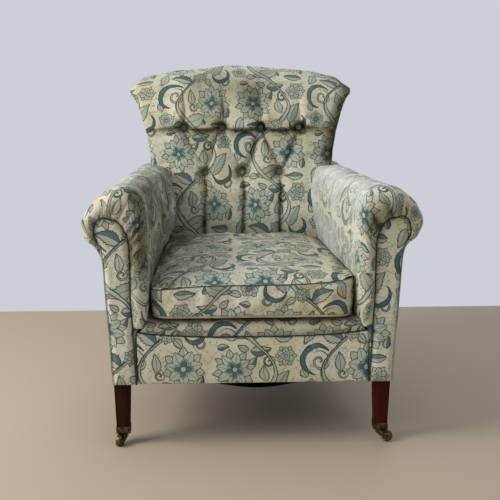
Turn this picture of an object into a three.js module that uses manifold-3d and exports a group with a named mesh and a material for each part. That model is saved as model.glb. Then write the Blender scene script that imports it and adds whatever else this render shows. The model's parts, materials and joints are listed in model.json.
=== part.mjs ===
// An old armchair with scroll arms and a buttoned, raked back, on four castors.
// Sizes are in millimetres. +X is right and -Y is the front as one looks at the chair, +Z is up.
// The model is drawn from the plane of the front border at y = 0, and then centred on its depth.
import * as THREE from 'three';
import { mergeVertices } from 'three/addons/utils/BufferGeometryUtils.js';
import Module from 'manifold-3d';

const wasm = await Module();
wasm.setup();

// Gaps between pieces
const clearance = 0.3;
const seamGap = 1;
const memberGap = 0.5;

// Plan of the frame: outer faces of the frame at the front and at the back posts
const frameHalfFront = 315;
const frameHalfBack = 248;
const frameFrontY = 14;
const legCentreX = 300;

// Seat frame
const railBottom = 156;
const railTop = 246;
const railThickness = 26;
const legBlockWidth = 34;
const legBlockDepth = 38;
const clothBottom = 150;
const cornerBlockLeg = 54;
const cornerBlockHeight = 40;

// Back: the raked line of its inside face, and what stands behind it
const seatLineY = 585;
const seatLineZ = 370;
const rake = 0.3;
const kneeZ = 250;
const backPadding = 70;
const postDepth = 43;
const postWidth = 34;
const postTop = 745;
const backLegSplay = 62;
const crestRailHeight = 40;
const lowerRailZ = 300;
const lowerRailHeight = 40;
const outsidePanel = 4.5;
const backTop = 842;
const backBottom = 262;

// Legs and castors
const legTopWidth = 38;
const footWidth = 30;
const cupWall = 1.4;
const cupHeight = 16;
const cupFloor = 2.5;
const wheelRadius = 13;
const wheelWidth = 12;
const wheelFacets = 24;
const wheelUnderCup = 1;
const trail = 24;
const bossRadius = 9;
const cheekThickness = 2.5;
const cheekGap = 0.8;
const cheekNose = 6;
const axleRadius = 3;
const pinRadius = 3.5;
const pinLength = 12;
const boreGap = 0.4;

// Arms
const armHeight = 603;
const armBackDrop = 33;
const armPaddingStart = 8;
const armBulge = 27;
const facingThickness = 6;
const facingBack = -4;
const stumpThickness = 26;
const armRailWidth = 26;
const armRailHeight = 44;
const armRailBelowCrest = 84;

// Seat: springs, platform, border and cushion
const platformTop = 302;
const platformThickness = 40;
const borderFront = -3;
const borderTop = 266;
const webbingThickness = 3;
const webbingWidth = 50;
const springRadius = 34;
const springWaist = 24;
const springWire = 2;
const springTurns = 4;
const springSpacingX = 130;
const springSpacingY = 155;
const springFirstY = 150;
const cushionFrontY = -6;
const cushionSeamLow = 309;
const cushionSeamTop = 383;
const cushionCrown = 24;
const cushionCornerLift = 14;
const cushionGap = 2;
const bottomClothThickness = 1.8;
const bottomClothSag = 15;

// Buttons of the back
const buttonRadius = 10.5;
const buttonHeight = 8;
const buttonDepth = 24;
const upperButtonZ = 675;
const lowerButtonZ = 553;
const upperButtonX = [-163, -55, 55, 163];
const lowerButtonX = [-104, 0, 104];
const pleatDepth = 8;
const pleatWidth = 12;
const dimpleWidth = 17;
const backCrown = 10;

// A plane behind the whole chair, where the tools that cut its pieces end
const farBehind = 1200;

const platformBottom = platformTop - platformThickness;
const backLine = (z) => seatLineY + rake * (Math.max(z, kneeZ) - seatLineZ);
const postFront = backPadding;
const postRear = backPadding + postDepth;
const panelFront = postRear + clearance;
const panelRear = panelFront + outsidePanel;

const beech = finish(0xb58a5c, 0.75);
const mahogany = finish(0x4a1d14, 0.45);
const brass = finish(0x6b5a3c, 0.5, 0.9);
const steel = finish(0x55524c, 0.5, 0.9);
const jute = finish(0xa68f68, 0.95);
const print = finish(0xc5c29a, 0.9);
const blackCloth = finish(0x17171a, 0.95);

function finish(color, roughness, metalness = 0) {
  return new THREE.MeshStandardMaterial({ color, roughness, metalness });
}

const lerp = THREE.MathUtils.lerp;
const clamp = THREE.MathUtils.clamp;
const smooth = (value) => THREE.MathUtils.smoothstep(value, 0, 1);

// A value read off a list of [place, value] pairs in rising order
function along(knots, place) {
  const next = knots.findIndex((knot) => knot[0] >= place);
  if (next === 0) return knots[0][1];
  if (next < 0) return knots[knots.length - 1][1];
  const [p0, v0] = knots[next - 1];
  const [p1, v1] = knots[next];
  return lerp(v0, v1, (place - p0) / (p1 - p0));
}

// Evenly spread values from a to b in the given number of steps
function spread(a, b, steps) {
  return Array.from({ length: steps + 1 }, (_, i) => lerp(a, b, i / steps));
}

// Triangles across a loop of points, in the loop's own sense
function capFaces(loop) {
  const box = new THREE.Box3().setFromPoints(loop);
  const size = box.getSize(new THREE.Vector3());
  let flat = (p) => new THREE.Vector2(p.x, p.y);
  if (size.x <= size.y && size.x <= size.z) flat = (p) => new THREE.Vector2(p.y, p.z);
  else if (size.y <= size.x && size.y <= size.z) flat = (p) => new THREE.Vector2(p.x, p.z);
  const outline = loop.map(flat);
  const sense = Math.sign(THREE.ShapeUtils.area(outline));
  return THREE.ShapeUtils.triangulateShape(outline, []).map(([a, b, c]) => {
    const turn = Math.sign(THREE.ShapeUtils.area([outline[a], outline[b], outline[c]]));
    return turn === sense ? [a, b, c] : [a, c, b];
  });
}

// Triangles across a loop whose second half runs back beside its first half
function pairedFaces(loop) {
  const last = loop.length - 1;
  return Array.from({ length: (last - 1) / 2 }, (_, i) => {
    return [[i, i + 1, last - i], [i + 1, last - i - 1, last - i]];
  }).flat();
}

// A closed skin over loops of points, each loop with the same number of points
function loft(rings, endFaces = capFaces) {
  const count = rings[0].length;
  const faces = [];
  for (let k = 0; k < rings.length - 1; k += 1) {
    for (let j = 0; j < count; j += 1) {
      const a = k * count + j;
      const b = k * count + ((j + 1) % count);
      faces.push([a, b, b + count], [a, b + count, a + count]);
    }
  }
  const last = (rings.length - 1) * count;
  endFaces(rings[0]).forEach(([a, b, c]) => faces.push([a, c, b]));
  endFaces(rings[rings.length - 1]).forEach(([a, b, c]) => faces.push([last + a, last + b, last + c]));
  const points = rings.flat();
  const volume = faces.reduce((sum, [a, b, c]) => {
    return sum + points[a].dot(new THREE.Vector3().crossVectors(points[b], points[c]));
  }, 0);
  const index = faces.flatMap(([a, b, c]) => (volume > 0 ? [a, b, c] : [a, c, b]));
  const geometry = new THREE.BufferGeometry().setFromPoints(points);
  geometry.setIndex(index);
  return geometry;
}

const point = (x, y, z) => new THREE.Vector3(x, y, z);

// A level rectangle as a loop of four points
function rectangle(x0, x1, y0, y1, z) {
  return [point(x0, y0, z), point(x1, y0, z), point(x1, y1, z), point(x0, y1, z)];
}

// A straight prism of an outline, along x from [y, z] pairs, y from [x, z] or z from [x, y]
function prism(outline, axis, from, to) {
  const shape = new THREE.Shape(outline.map(([u, v]) => new THREE.Vector2(u, v)));
  const geometry = new THREE.ExtrudeGeometry(shape, { depth: to - from, bevelEnabled: false });
  const X = point(1, 0, 0);
  const Y = point(0, 1, 0);
  const Z = point(0, 0, 1);
  const frame = new THREE.Matrix4();
  if (axis === 'x') frame.makeBasis(Y, Z, X).setPosition(from, 0, 0);
  else if (axis === 'y') frame.makeBasis(X, Z, Y.negate()).setPosition(0, to, 0);
  else frame.setPosition(0, 0, from);
  return geometry.applyMatrix4(frame);
}

// The same outline, moved outwards by a distance
function offset(outline, distance) {
  const vectors = outline.map(([u, v]) => new THREE.Vector2(u, v));
  const sense = Math.sign(THREE.ShapeUtils.area(vectors));
  const count = vectors.length;
  return vectors.map((p, i) => {
    const before = p.clone().sub(vectors[(i + count - 1) % count]).normalize();
    const after = vectors[(i + 1) % count].clone().sub(p).normalize();
    const n0 = new THREE.Vector2(before.y, -before.x).multiplyScalar(sense);
    const n1 = new THREE.Vector2(after.y, -after.x).multiplyScalar(sense);
    const mitre = distance / (1 + n0.dot(n1));
    return [p.x + (n0.x + n1.x) * mitre, p.y + (n0.y + n1.y) * mitre];
  });
}

function toSolid(geometry) {
  const bare = geometry.clone();
  bare.deleteAttribute('normal');
  bare.deleteAttribute('uv');
  const merged = mergeVertices(bare, 1e-4);
  return new wasm.Manifold(new wasm.Mesh({
    numProp: 3,
    vertProperties: new Float32Array(merged.attributes.position.array),
    triVerts: new Uint32Array(merged.index.array),
  }));
}

// Joins and cuts can leave crumbs of no volume, which are dropped here
const crumb = 0.01;

function toGeometry(solid) {
  const bodies = solid.decompose().filter((body) => Math.abs(body.volume()) > crumb);
  const mesh = wasm.Manifold.compose(bodies).getMesh();
  const geometry = new THREE.BufferGeometry();
  geometry.setAttribute('position', new THREE.BufferAttribute(mesh.vertProperties, 3));
  geometry.setIndex(new THREE.BufferAttribute(mesh.triVerts, 1));
  return geometry;
}

function cut(geometry, ...tools) {
  return toGeometry(tools.reduce((solid, tool) => solid.subtract(toSolid(tool)), toSolid(geometry)));
}

function join(...geometries) {
  return toGeometry(geometries.map(toSolid).reduce((whole, solid) => whole.add(solid)));
}

const chair = new THREE.Group();

function add(name, geometry, material, parent = chair) {
  const mesh = new THREE.Mesh(geometry, material);
  mesh.name = name;
  parent.add(mesh);
  return mesh;
}

const sides = [['left', -1], ['right', 1]];

// Heights of the castor: the wheel stands on the floor, the horn turns under the cup
const hornTop = 2 * wheelRadius + wheelUnderCup - clearance;
const cupBottom = hornTop + clearance;
const legBottom = cupBottom + cupFloor + clearance;
const cupTop = cupBottom + cupHeight;
const cupHalf = footWidth / 2 + clearance + cupWall;

// Centres of the four castors
const frontLegY = frameFrontY + legTopWidth / 2;
const postCentreX = frameHalfBack - postWidth / 2;
const postLowFront = backLine(kneeZ) + postFront;
const backLegY = postLowFront + postDepth / 2 + backLegSplay;

// Outer faces of the side rail, from the leg block to the post
const sideRailStart = frameFrontY + legBlockDepth + clearance;
const sideRailEnd = postLowFront - clearance;
const sideRailFrontX = frameHalfFront - 2;
const sideRailBackX = frameHalfBack - 3;

function sideRailOuter(y) {
  return lerp(sideRailFrontX, sideRailBackX, (y - sideRailStart) / (sideRailEnd - sideRailStart));
}

function sideRail(side) {
  const outline = [
    [side * sideRailFrontX, sideRailStart],
    [side * (sideRailFrontX - railThickness), sideRailStart],
    [side * (sideRailBackX - railThickness), sideRailEnd],
    [side * sideRailBackX, sideRailEnd],
  ];
  return prism(outline, 'z', railBottom, railTop);
}

function crossRail(half, y) {
  const outline = [
    [y, railBottom],
    [y + railThickness, railBottom],
    [y + railThickness, railTop],
    [y, railTop],
  ];
  return prism(outline, 'x', -half, half);
}

// A round bore up into the foot of a leg, for the castor's pin
function pinBore(x, y) {
  const length = cupBottom + pinLength + clearance;
  const bore = new THREE.CylinderGeometry(pinRadius + boreGap, pinRadius + boreGap, length, 12);
  bore.rotateX(Math.PI / 2);
  return bore.translate(x, y, length / 2);
}

// Square tapered front leg with the block that carries the rails on its top
function frontLeg(side) {
  const ring = (half, z) => {
    const x = side * legCentreX;
    return rectangle(x - half, x + half, frontLegY - half, frontLegY + half, z);
  };
  const taperTop = clothBottom - memberGap;
  const outer = side * frameHalfFront;
  const inner = side * (frameHalfFront - legBlockWidth);
  const block = (z) => {
    const y1 = frameFrontY + legBlockDepth;
    return rectangle(Math.min(inner, outer), Math.max(inner, outer), frameFrontY, y1, z);
  };
  const leg = loft([
    ring(footWidth / 2, legBottom),
    ring(footWidth / 2, cupTop + clearance),
    ring(footWidth / 2 + 0.5, cupTop + clearance),
    ring(legTopWidth / 2, taperTop),
    block(taperTop),
    block(railTop),
  ]);
  return cut(leg, pinBore(side * legCentreX, frontLegY));
}

// Raked post of the back, in one piece with its leg, which splays backwards
function backPost(side) {
  const ring = (halfX, y0, y1, z) => {
    const x = side * postCentreX;
    return rectangle(x - halfX, x + halfX, y0, y1, z);
  };
  const half = postWidth / 2;
  const foot = footWidth / 2;
  const topFront = backLine(postTop) + postFront;
  const leg = loft([
    ring(foot, backLegY - foot, backLegY + foot, legBottom),
    ring(foot, backLegY - foot, backLegY + foot, cupTop + clearance),
    ring(half, postLowFront, postLowFront + postDepth, clothBottom),
    ring(half, postLowFront, postLowFront + postDepth, kneeZ),
    ring(half, topFront, topFront + postDepth, postTop),
  ]);
  return cut(leg, pinBore(side * postCentreX, backLegY));
}

// Outline in y and z of a cross member of the back, which leans with it
function leaning(depth0, depth1, z0, z1) {
  return [
    [backLine(z0) + depth0, z0],
    [backLine(z0) + depth1, z0],
    [backLine(z1) + depth1, z1],
    [backLine(z1) + depth0, z1],
  ];
}

// Corner blocks, glued in the corners of the seat frame
function cornerBlock(side, front) {
  const innerLeg = frameHalfFront - legBlockWidth - clearance;
  const innerPost = frameHalfBack - postWidth - clearance;
  const railInner = (y) => sideRailOuter(y) - railThickness - clearance;
  let outline;
  if (front) {
    const y0 = frameFrontY + railThickness + clearance;
    outline = [
      [innerLeg - cornerBlockLeg, y0],
      [innerLeg, y0],
      [innerLeg, sideRailStart],
      [Math.min(innerLeg, railInner(y0 + cornerBlockLeg)), y0 + cornerBlockLeg],
    ];
  } else {
    const y0 = backRailY - clearance;
    const y1 = sideRailEnd - cornerBlockLeg;
    outline = [
      [innerPost - cornerBlockLeg, y0],
      [innerPost, y0],
      [innerPost, sideRailEnd],
      [railInner(sideRailEnd), sideRailEnd],
      [railInner(y1), y1],
    ];
  }
  const mirrored = outline.map(([x, y]) => [side * x, y]);
  const z0 = railBottom + 10;
  return prism(mirrored, 'z', z0, z0 + cornerBlockHeight);
}

const backRailY = postLowFront + (postDepth - railThickness) / 2;

// Cross section of an arm, as [x, z] from the inner bottom edge over the crest to the outer bottom
// edge: the lower points hang on the frame, the upper ones on the crest of the arm
function armOutline(frameHalf, crest, inner, roll) {
  return [
    [frameHalf - inner.foot, clothBottom],
    [frameHalf - inner.foot, platformBottom + 6],
    [frameHalf - lerp(inner.foot, inner.seat, 0.6), platformBottom + 22],
    [frameHalf - inner.seat, platformTop + 18],
    [frameHalf - inner.wall, seatLineZ + 60],
    [frameHalf - inner.shoulder, crest - 93 * roll],
    [frameHalf - inner.shoulder + 4, crest - 43 * roll],
    [frameHalf - inner.shoulder + 22 * roll, crest - 9 * roll],
    [frameHalf - inner.crest, crest],
    [frameHalf - inner.crest + 37 * roll, crest - 11 * roll],
    [frameHalf + 47 * roll + inner.out, crest - 37 * roll],
    [frameHalf + 67 * roll + inner.out, crest - 76 * roll],
    [frameHalf + 57 * roll + inner.out, crest - 113 * roll],
    [frameHalf + 33 * roll + inner.out, crest - 135 * roll],
    [frameHalf + 21, crest - 173 * roll],
    [frameHalf + 16, seatLineZ - 20],
    [frameHalf + 10, kneeZ],
    [frameHalf + 5, clothBottom],
  ];
}

const armFrontOutline = armOutline(
  frameHalfFront,
  armHeight,
  { foot: 51, seat: 78, wall: 80, shoulder: 82, crest: 22, out: 0 },
  1,
);
const armBackOutline = armOutline(
  frameHalfBack,
  armHeight - armBackDrop,
  { foot: 24, seat: 42, wall: 50, shoulder: 58, crest: -8, out: 8 },
  0.75,
);

// Seam of the facing on the arm's front, point for point with the section above
const facingSeam = [
  [frameHalfFront - 49, clothBottom + 3],
  [frameHalfFront - 44, platformBottom],
  [frameHalfFront - 43, platformBottom + 38],
  [frameHalfFront - 40, lerp(platformTop, armHeight, 0.16)],
  [frameHalfFront - 40, lerp(platformTop, armHeight, 0.36)],
  [frameHalfFront - 39, armHeight - 138],
  [frameHalfFront - 35, armHeight - 107],
  [frameHalfFront - 18, armHeight - 77],
  [frameHalfFront + 5, armHeight - 67],
  [frameHalfFront + 19, armHeight - 65],
  [frameHalfFront + 33, armHeight - 75],
  [frameHalfFront + 38, armHeight - 100],
  [frameHalfFront + 32, armHeight - 117],
  [frameHalfFront + 24, armHeight - 134],
  [frameHalfFront + 19, armHeight - 175],
  [frameHalfFront + 15, seatLineZ - 20],
  [frameHalfFront + 9, kneeZ],
  [frameHalfFront + 4, clothBottom + 3],
];

// Even samples along a smooth curve through [x, z] points
function sampled(outline, count) {
  const curve = new THREE.CatmullRomCurve3(outline.map(([x, z]) => point(x, 0, z)));
  return Array.from({ length: count }, (_, i) => curve.getPoint(i / (count - 1)));
}

const armSamples = 36;

function armSection(t) {
  return armFrontOutline.map(([x, z], i) => {
    return [lerp(x, armBackOutline[i][0], t), lerp(z, armBackOutline[i][1], t)];
  });
}

const armRearY = (z) => backLine(z) + panelRear;

// Inner face of an arm at the y given, from the numbered point of its section
function armInner(y, number) {
  const t = (y - armPaddingStart) / (armRearY(armFrontOutline[number][1]) - armPaddingStart);
  return lerp(armFrontOutline[number][0], armBackOutline[number][0], t);
}

// Upright front post of the arm, cut to the line of the facing
const stumpOutline = [
  [frameHalfFront - 32, railTop + clearance],
  [frameHalfFront - 1, railTop + clearance],
  [frameHalfFront + 5, armHeight - 175],
  [frameHalfFront + 11, armHeight - 133],
  [frameHalfFront + 27, armHeight - 113],
  [frameHalfFront + 23, armHeight - 88],
  [frameHalfFront - 5, armHeight - 85],
  [frameHalfFront - 25, armHeight - 103],
  [frameHalfFront - 29, armHeight - 173],
];

function armStump(side, grow = 0) {
  const outline = offset(stumpOutline, grow).map(([x, z]) => [side * x, z]);
  return prism(outline, 'y', frameFrontY - grow, frameFrontY + stumpThickness + grow);
}

// Top rail of the arm, from the stump to the post
function armRail(side, grow = 0) {
  const w = armRailWidth / 2 + grow;
  const end = (x, top, y) => {
    const z1 = top + grow;
    const z0 = top - armRailHeight - grow;
    return [[-w, z0], [w, z0], [w, z1], [-w, z1]].map(([dx, z]) => point(side * (x + dx), y(z), z));
  };
  const frontX = frameHalfFront - 8;
  const backX = frameHalfBack - armRailWidth / 2;
  const start = frameFrontY + stumpThickness + clearance - grow;
  const drop = armRailBelowCrest + 4;
  return loft([
    end(frontX, armHeight - drop, () => start),
    end(backX, armHeight - armBackDrop - drop + 14, (z) => backLine(z) + postFront - clearance + grow),
  ]);
}

// Half width of the upholstered back at a height, as it widens from the arms to its ears
const earFoot = armHeight - 41;
const earTop = backTop - 94;
const backWidth = [
  [backBottom - 2, frameHalfBack - 1],
  [earFoot - 82, frameHalfBack - 1],
  [earFoot - 42, frameHalfBack + 6],
  [earFoot, frameHalfBack + 15],
  [lerp(earFoot, earTop, 0.31), frameHalfBack + 20],
  [lerp(earFoot, earTop, 0.6), frameHalfBack + 27],
  [lerp(earFoot, earTop, 0.785), frameHalfBack + 41],
  [earTop, frameHalfBack + 63],
  [backTop - 52, frameHalfBack + 69],
];

// The space that the back and its post take out of an arm, up to above the arm's crest
function backCutter(side) {
  const levels = backWidth.map(([z]) => z).filter((z) => z < armHeight);
  const rings = [...levels, armHeight + seamGap].map((z) => {
    const x = Math.max(along(backWidth, z), frameHalfBack) + seamGap;
    const y = backLine(z) - memberGap;
    return rectangle(Math.min(0, side * x), Math.max(0, side * x), y, farBehind, z);
  });
  const low = rings[0].map((p) => point(p.x, p.y, 0));
  return loft([low, ...rings]);
}

// The hollow of the seat frame inside the outer cloth of an arm
function frameCutter(side) {
  const leg = frameHalfFront + memberGap;
  const outline = [
    [0, frameFrontY - memberGap],
    [leg, frameFrontY - memberGap],
    [leg, sideRailStart + seamGap],
    [sideRailOuter(sideRailEnd) + memberGap, sideRailEnd],
    [frameHalfBack + memberGap, sideRailEnd],
    [frameHalfBack + memberGap, farBehind],
    [0, farBehind],
  ];
  return prism(outline.map(([x, y]) => [side * x, y]), 'z', 0, railTop + memberGap);
}

// Padded arm: a scroll whose front rolls forward round the facing
function armUpholstery(side) {
  const front = sampled(armFrontOutline, armSamples);
  const seam = sampled(facingSeam, armSamples);
  const roundFront = [
    [1, 0, 0],
    [0.93, 0.4, 0.1],
    [0.78, 0.8, 0.22],
    [0.55, 1, 0.38],
    [0.3, 0.86, 0.55],
    [0.1, 0.4, 0.78],
  ];
  const capY = facingBack + clearance;
  const rings = roundFront.map(([towardsSeam, bulge, depth]) => front.map((p, i) => {
    const fullness = clamp(p.distanceTo(seam[i]) / 62, 0, 1);
    const q = p.clone().lerp(seam[i], towardsSeam);
    const flatY = lerp(capY, armPaddingStart, depth);
    const roundY = lerp(capY, armPaddingStart, Math.max(0, 3 * depth - 2)) - bulge * armBulge;
    return point(side * q.x, lerp(flatY, roundY, fullness), q.z);
  }));
  const stations = [0, 0.04, 0.1, 0.2, 0.32, 0.45, 0.6, 0.75, 0.88, 1];
  stations.forEach((t) => {
    rings.push(sampled(armSection(t), armSamples).map((p) => {
      return point(side * p.x, lerp(armPaddingStart, armRearY(p.z), t), p.z);
    }));
  });
  const padding = loft(rings, pairedFaces);
  const tools = [
    frameCutter(side),
    armStump(side, memberGap),
    armRail(side, memberGap),
    backCutter(side),
  ];
  return cut(padding, ...tools);
}

// Padded panel nailed over the front of the arm, inside the seam
function armFacing(side) {
  const seam = sampled(facingSeam, 28).map((p) => [side * p.x, p.z]);
  const outline = offset(seam, -seamGap);
  const shape = new THREE.Shape(outline.map(([x, z]) => new THREE.Vector2(x, z)));
  const edge = facingThickness / 2;
  const geometry = new THREE.ExtrudeGeometry(shape, {
    depth: facingThickness - edge,
    bevelThickness: edge,
    bevelSize: edge * 0.7,
    bevelOffset: -edge * 0.7,
    bevelSegments: 2,
  });
  geometry.rotateX(Math.PI / 2);
  geometry.translate(0, facingBack, 0);
  const behind = offset(outline, 10);
  return cut(geometry, prism(behind, 'y', facingBack, facingBack + 20));
}

// Spans of the back between which a fold is drawn in
const pleats = [];
upperButtonX.forEach((x) => {
  pleats.push([x, upperButtonZ, x * 1.04, backTop + 40]);
  lowerButtonX.forEach((lower) => {
    const near = Math.abs(lower - x) < 80;
    if (near) pleats.push([x, upperButtonZ, lower, lowerButtonZ]);
  });
});
lowerButtonX.forEach((x) => pleats.push([x, lowerButtonZ, x, seatLineZ]));
sides.forEach(([, side]) => {
  const outermost = side * upperButtonX[upperButtonX.length - 1];
  pleats.push([outermost, upperButtonZ, side * (frameHalfBack + 30), upperButtonZ - 8]);
});

function distanceToSpan(x, z, [x0, z0, x1, z1]) {
  const dx = x1 - x0;
  const dz = z1 - z0;
  const share = clamp(((x - x0) * dx + (z - z0) * dz) / (dx * dx + dz * dz), 0, 1);
  return Math.hypot(x - x0 - share * dx, z - z0 - share * dz);
}

const buttonPlaces = [
  ...upperButtonX.map((x) => [x, upperButtonZ]),
  ...lowerButtonX.map((x) => [x, lowerButtonZ]),
];
const buttonFloor = buttonRadius + 1.5;

// How far the face of the back is drawn in at a place, crown and buttoning together
function drawnIn(x, height) {
  const rise = smooth((height - seatLineZ - 20) / 90) * smooth((backTop + 60 - height) / 160);
  const lowHalf = armBackOutline[5][0] - 4 * seamGap;
  const crownHalf = height < armHeight ? lowHalf : lowHalf + 29;
  const crown = backCrown * rise * (1 - Math.min(1, Math.abs(x) / crownHalf) ** 4);
  let pull = 0;
  buttonPlaces.forEach(([bx, bz]) => {
    const flat = buttonFloor * 1.45;
    const beyond = Math.max(0, Math.hypot(x - bx, height - bz) - flat);
    pull = Math.max(pull, (buttonDepth + crown) * Math.exp(-((beyond / dimpleWidth) ** 2)));
  });
  pleats.forEach((pleat) => {
    const away = distanceToSpan(x, height, pleat) / pleatWidth;
    pull = Math.max(pull, (pleatDepth + crown) * Math.exp(-(away ** 2)));
  });
  return pull - crown;
}

// Side view of the rolled top, as [drop below the top, depth behind the inside face, arch]
const topRoll = [
  [122, 0, 0],
  [97, 4, 4],
  [74, 11, 8],
  [52, 21, 14],
  [32, 36, 21],
  [16, 54, 28],
  [5, 74, 32],
  [0, 95, 34],
  [4, 118, 34],
  [16, 137, 30],
  [34, 148, 24],
  [54, 151, 16],
  [74, 146, 9],
  [90, 132, 4],
];

// Top of the outside panel, just under the second row of the roll
const outsideTop = backTop - topRoll[1][0] - seamGap;

// Padded and buttoned inside of the back, rolled over the top and open behind for the frame
function insideBack() {
  const floor = buttonFloor;
  const rollStart = backTop - 137;
  const lowerBand = [lowerButtonZ - floor, lowerButtonZ, lowerButtonZ + floor];
  const upperBand = [upperButtonZ - floor, upperButtonZ, upperButtonZ + floor];
  const heights = [
    ...spread(backBottom, lowerBand[0] - 30, 8),
    ...lowerBand,
    ...spread(lowerBand[2] + 22, upperBand[0] - 22, 2),
    ...upperBand,
    rollStart,
  ];
  const rows = heights.map((z) => ({ z, depth: 0, arch: 0, height: z, inwards: [1, 0] }));
  const rollCentre = [95, backTop - 60];
  let height = rollStart;
  topRoll.forEach(([drop, depth, arch]) => {
    const previous = rows[rows.length - 1];
    const z = backTop - drop;
    height += Math.hypot(depth - previous.depth, z - previous.z);
    const reach = Math.hypot(rollCentre[0] - depth, rollCentre[1] - z);
    const towards = [(rollCentre[0] - depth) / reach, (rollCentre[1] - z) / reach];
    const inwards = drop > 80 && depth < 50 ? [1, 0] : towards;
    rows.push({ z, depth, arch, height, inwards });
  });
  const rearHeights = [...heights, backTop - topRoll[0][0], backTop - topRoll[1][0]].reverse();
  const pastButtons = 2 * backTop;
  rearHeights.forEach((z) => {
    rows.push({ z, depth: postRear, arch: 0, height: pastButtons, inwards: [-1, 0] });
  });

  const buttonLines = [...upperButtonX, ...lowerButtonX].filter((x) => x >= 0);
  const nearButtons = buttonLines.flatMap((x) => [x - floor, x, x + floor]);
  const innerLimit = 190;
  const lowHalf = frameHalfBack - 1;
  const between = [27, 80, 134, innerLimit];
  const edges = [39, 23, 11, 5, 0].map((step) => lowHalf - step);
  const positive = [...new Set([...nearButtons, ...between, ...edges])].filter((x) => x > 0);
  positive.sort((a, b) => a - b);
  const lines = [...positive.map((x) => -x).reverse(), 0, ...positive];

  // Beyond the inner limit the lines fan out to the ears, whose edges are rounded
  const edgeRound = 13;
  const rings = lines.map((line) => rows.map((row) => {
    const half = along(backWidth, row.z) - Math.max(0, row.arch - 20) * 1.6;
    const reach = Math.abs(line);
    const outer = Math.max(0, reach - innerLimit) / (lowHalf - innerLimit);
    const x = Math.min(reach, innerLimit) + outer * (half - innerLimit);
    const rounding = edgeRound * Math.max(0, (outer - 0.8) / 0.2) ** 2.5;
    const inset = rounding * (row.z < earFoot - 20 ? 0.15 : 1);
    const shift = inset + drawnIn(Math.sign(line) * x, row.height);
    const z = row.z - row.arch * (x / half) ** 2.2 + row.inwards[1] * shift;
    const depth = row.depth + row.inwards[0] * shift;
    return point(Math.sign(line) * x, backLine(z) + depth, z);
  }));

  // The frame stands in a pocket of the padding, open behind up to the outside panel's top
  const openAt = outsideTop - 1;
  const pocketTop = postTop + clearance + crestRailHeight + memberGap;
  const pocketBack = postRear + clearance;
  const pocketFront = backPadding - clearance;
  const behind = postRear + 20;
  const pocket = [
    [backLine(kneeZ) + pocketFront, kneeZ],
    [backLine(kneeZ) + behind, kneeZ],
    [backLine(openAt) + behind, openAt],
    [backLine(openAt) + pocketBack, openAt],
    [backLine(pocketTop) + pocketBack, pocketTop],
    [backLine(pocketTop) + pocketFront, pocketTop],
  ];
  const pocketHalf = frameHalfBack + 4.5;
  return cut(
    loft(rings, pairedFaces),
    prism(pocket, 'x', -pocketHalf, pocketHalf),
    armRail(-1, memberGap),
    armRail(1, memberGap),
  );
}

// Flat cloth panel on the outside of the back
function outsideBack() {
  const levels = [clothBottom, kneeZ, ...backWidth.slice(1, 8).map(([z]) => z)];
  const heights = [...levels.filter((z) => z < outsideTop), outsideTop];
  return loft(heights.map((z) => {
    const half = along(backWidth, z) - (z > seatLineZ + 100 ? 2 : 0) - clearance;
    return rectangle(-half, half, backLine(z) + panelFront, backLine(z) + panelRear, z);
  }));
}

// Covered button, sunk on the flat floor of its dimple
function backButton() {
  const profile = [
    [0, 0],
    [buttonRadius * 0.86, 0],
    [buttonRadius, buttonHeight * 0.25],
    [buttonRadius * 0.8, buttonHeight * 0.7],
    [buttonRadius * 0.42, buttonHeight * 0.94],
    [0, buttonHeight],
  ];
  return new THREE.LatheGeometry(profile.map(([r, h]) => new THREE.Vector2(r, h)), 9);
}

// Sprung platform under the cushion, in one cover with the border on the front rail
function seatPlatform() {
  // Distance from the front, and how far the sides and the top are drawn in there
  const stations = [
    [0, 4, 12],
    [3, 1.2, 5],
    [10, 0, 0],
    [60, 0, 0],
    [250, 0, 0],
    [420, 0, 0],
    [farBehind, 0, 0],
  ];
  const rear = (z) => backLine(z) - seamGap;
  const chamfer = 9;
  const rings = stations.map(([away, sideDrop, topDrop]) => {
    const station = borderFront + away;
    const at = (x, z) => point(x, Math.min(station, rear(z)), z);
    const half = armInner(Math.min(station, rear(platformTop)), 3) - seamGap - sideDrop;
    const z0 = platformBottom;
    const z1 = platformTop - topDrop;
    return [
      at(-half, z0 + 2),
      at(-half + 3, z0),
      at(half - 3, z0),
      at(half, z0 + 2),
      at(half, z1 - chamfer),
      at(half - chamfer, z1),
      at(-half + chamfer, z1),
      at(-half, z1 - chamfer),
    ];
  });
  const borderHalf = armFrontOutline[0][0] - 3 * seamGap;
  const back = frameFrontY - memberGap;
  const border = [
    [back, clothBottom + 2],
    [borderFront + 3, clothBottom + 2],
    [borderFront, clothBottom + 10],
    [borderFront - 1.5, (clothBottom + borderTop) / 2],
    [borderFront, borderTop - 6],
    [borderFront + 3, borderTop],
    [back, borderTop],
  ];
  return join(loft(rings), prism(border, 'x', -borderHalf, borderHalf));
}

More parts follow.
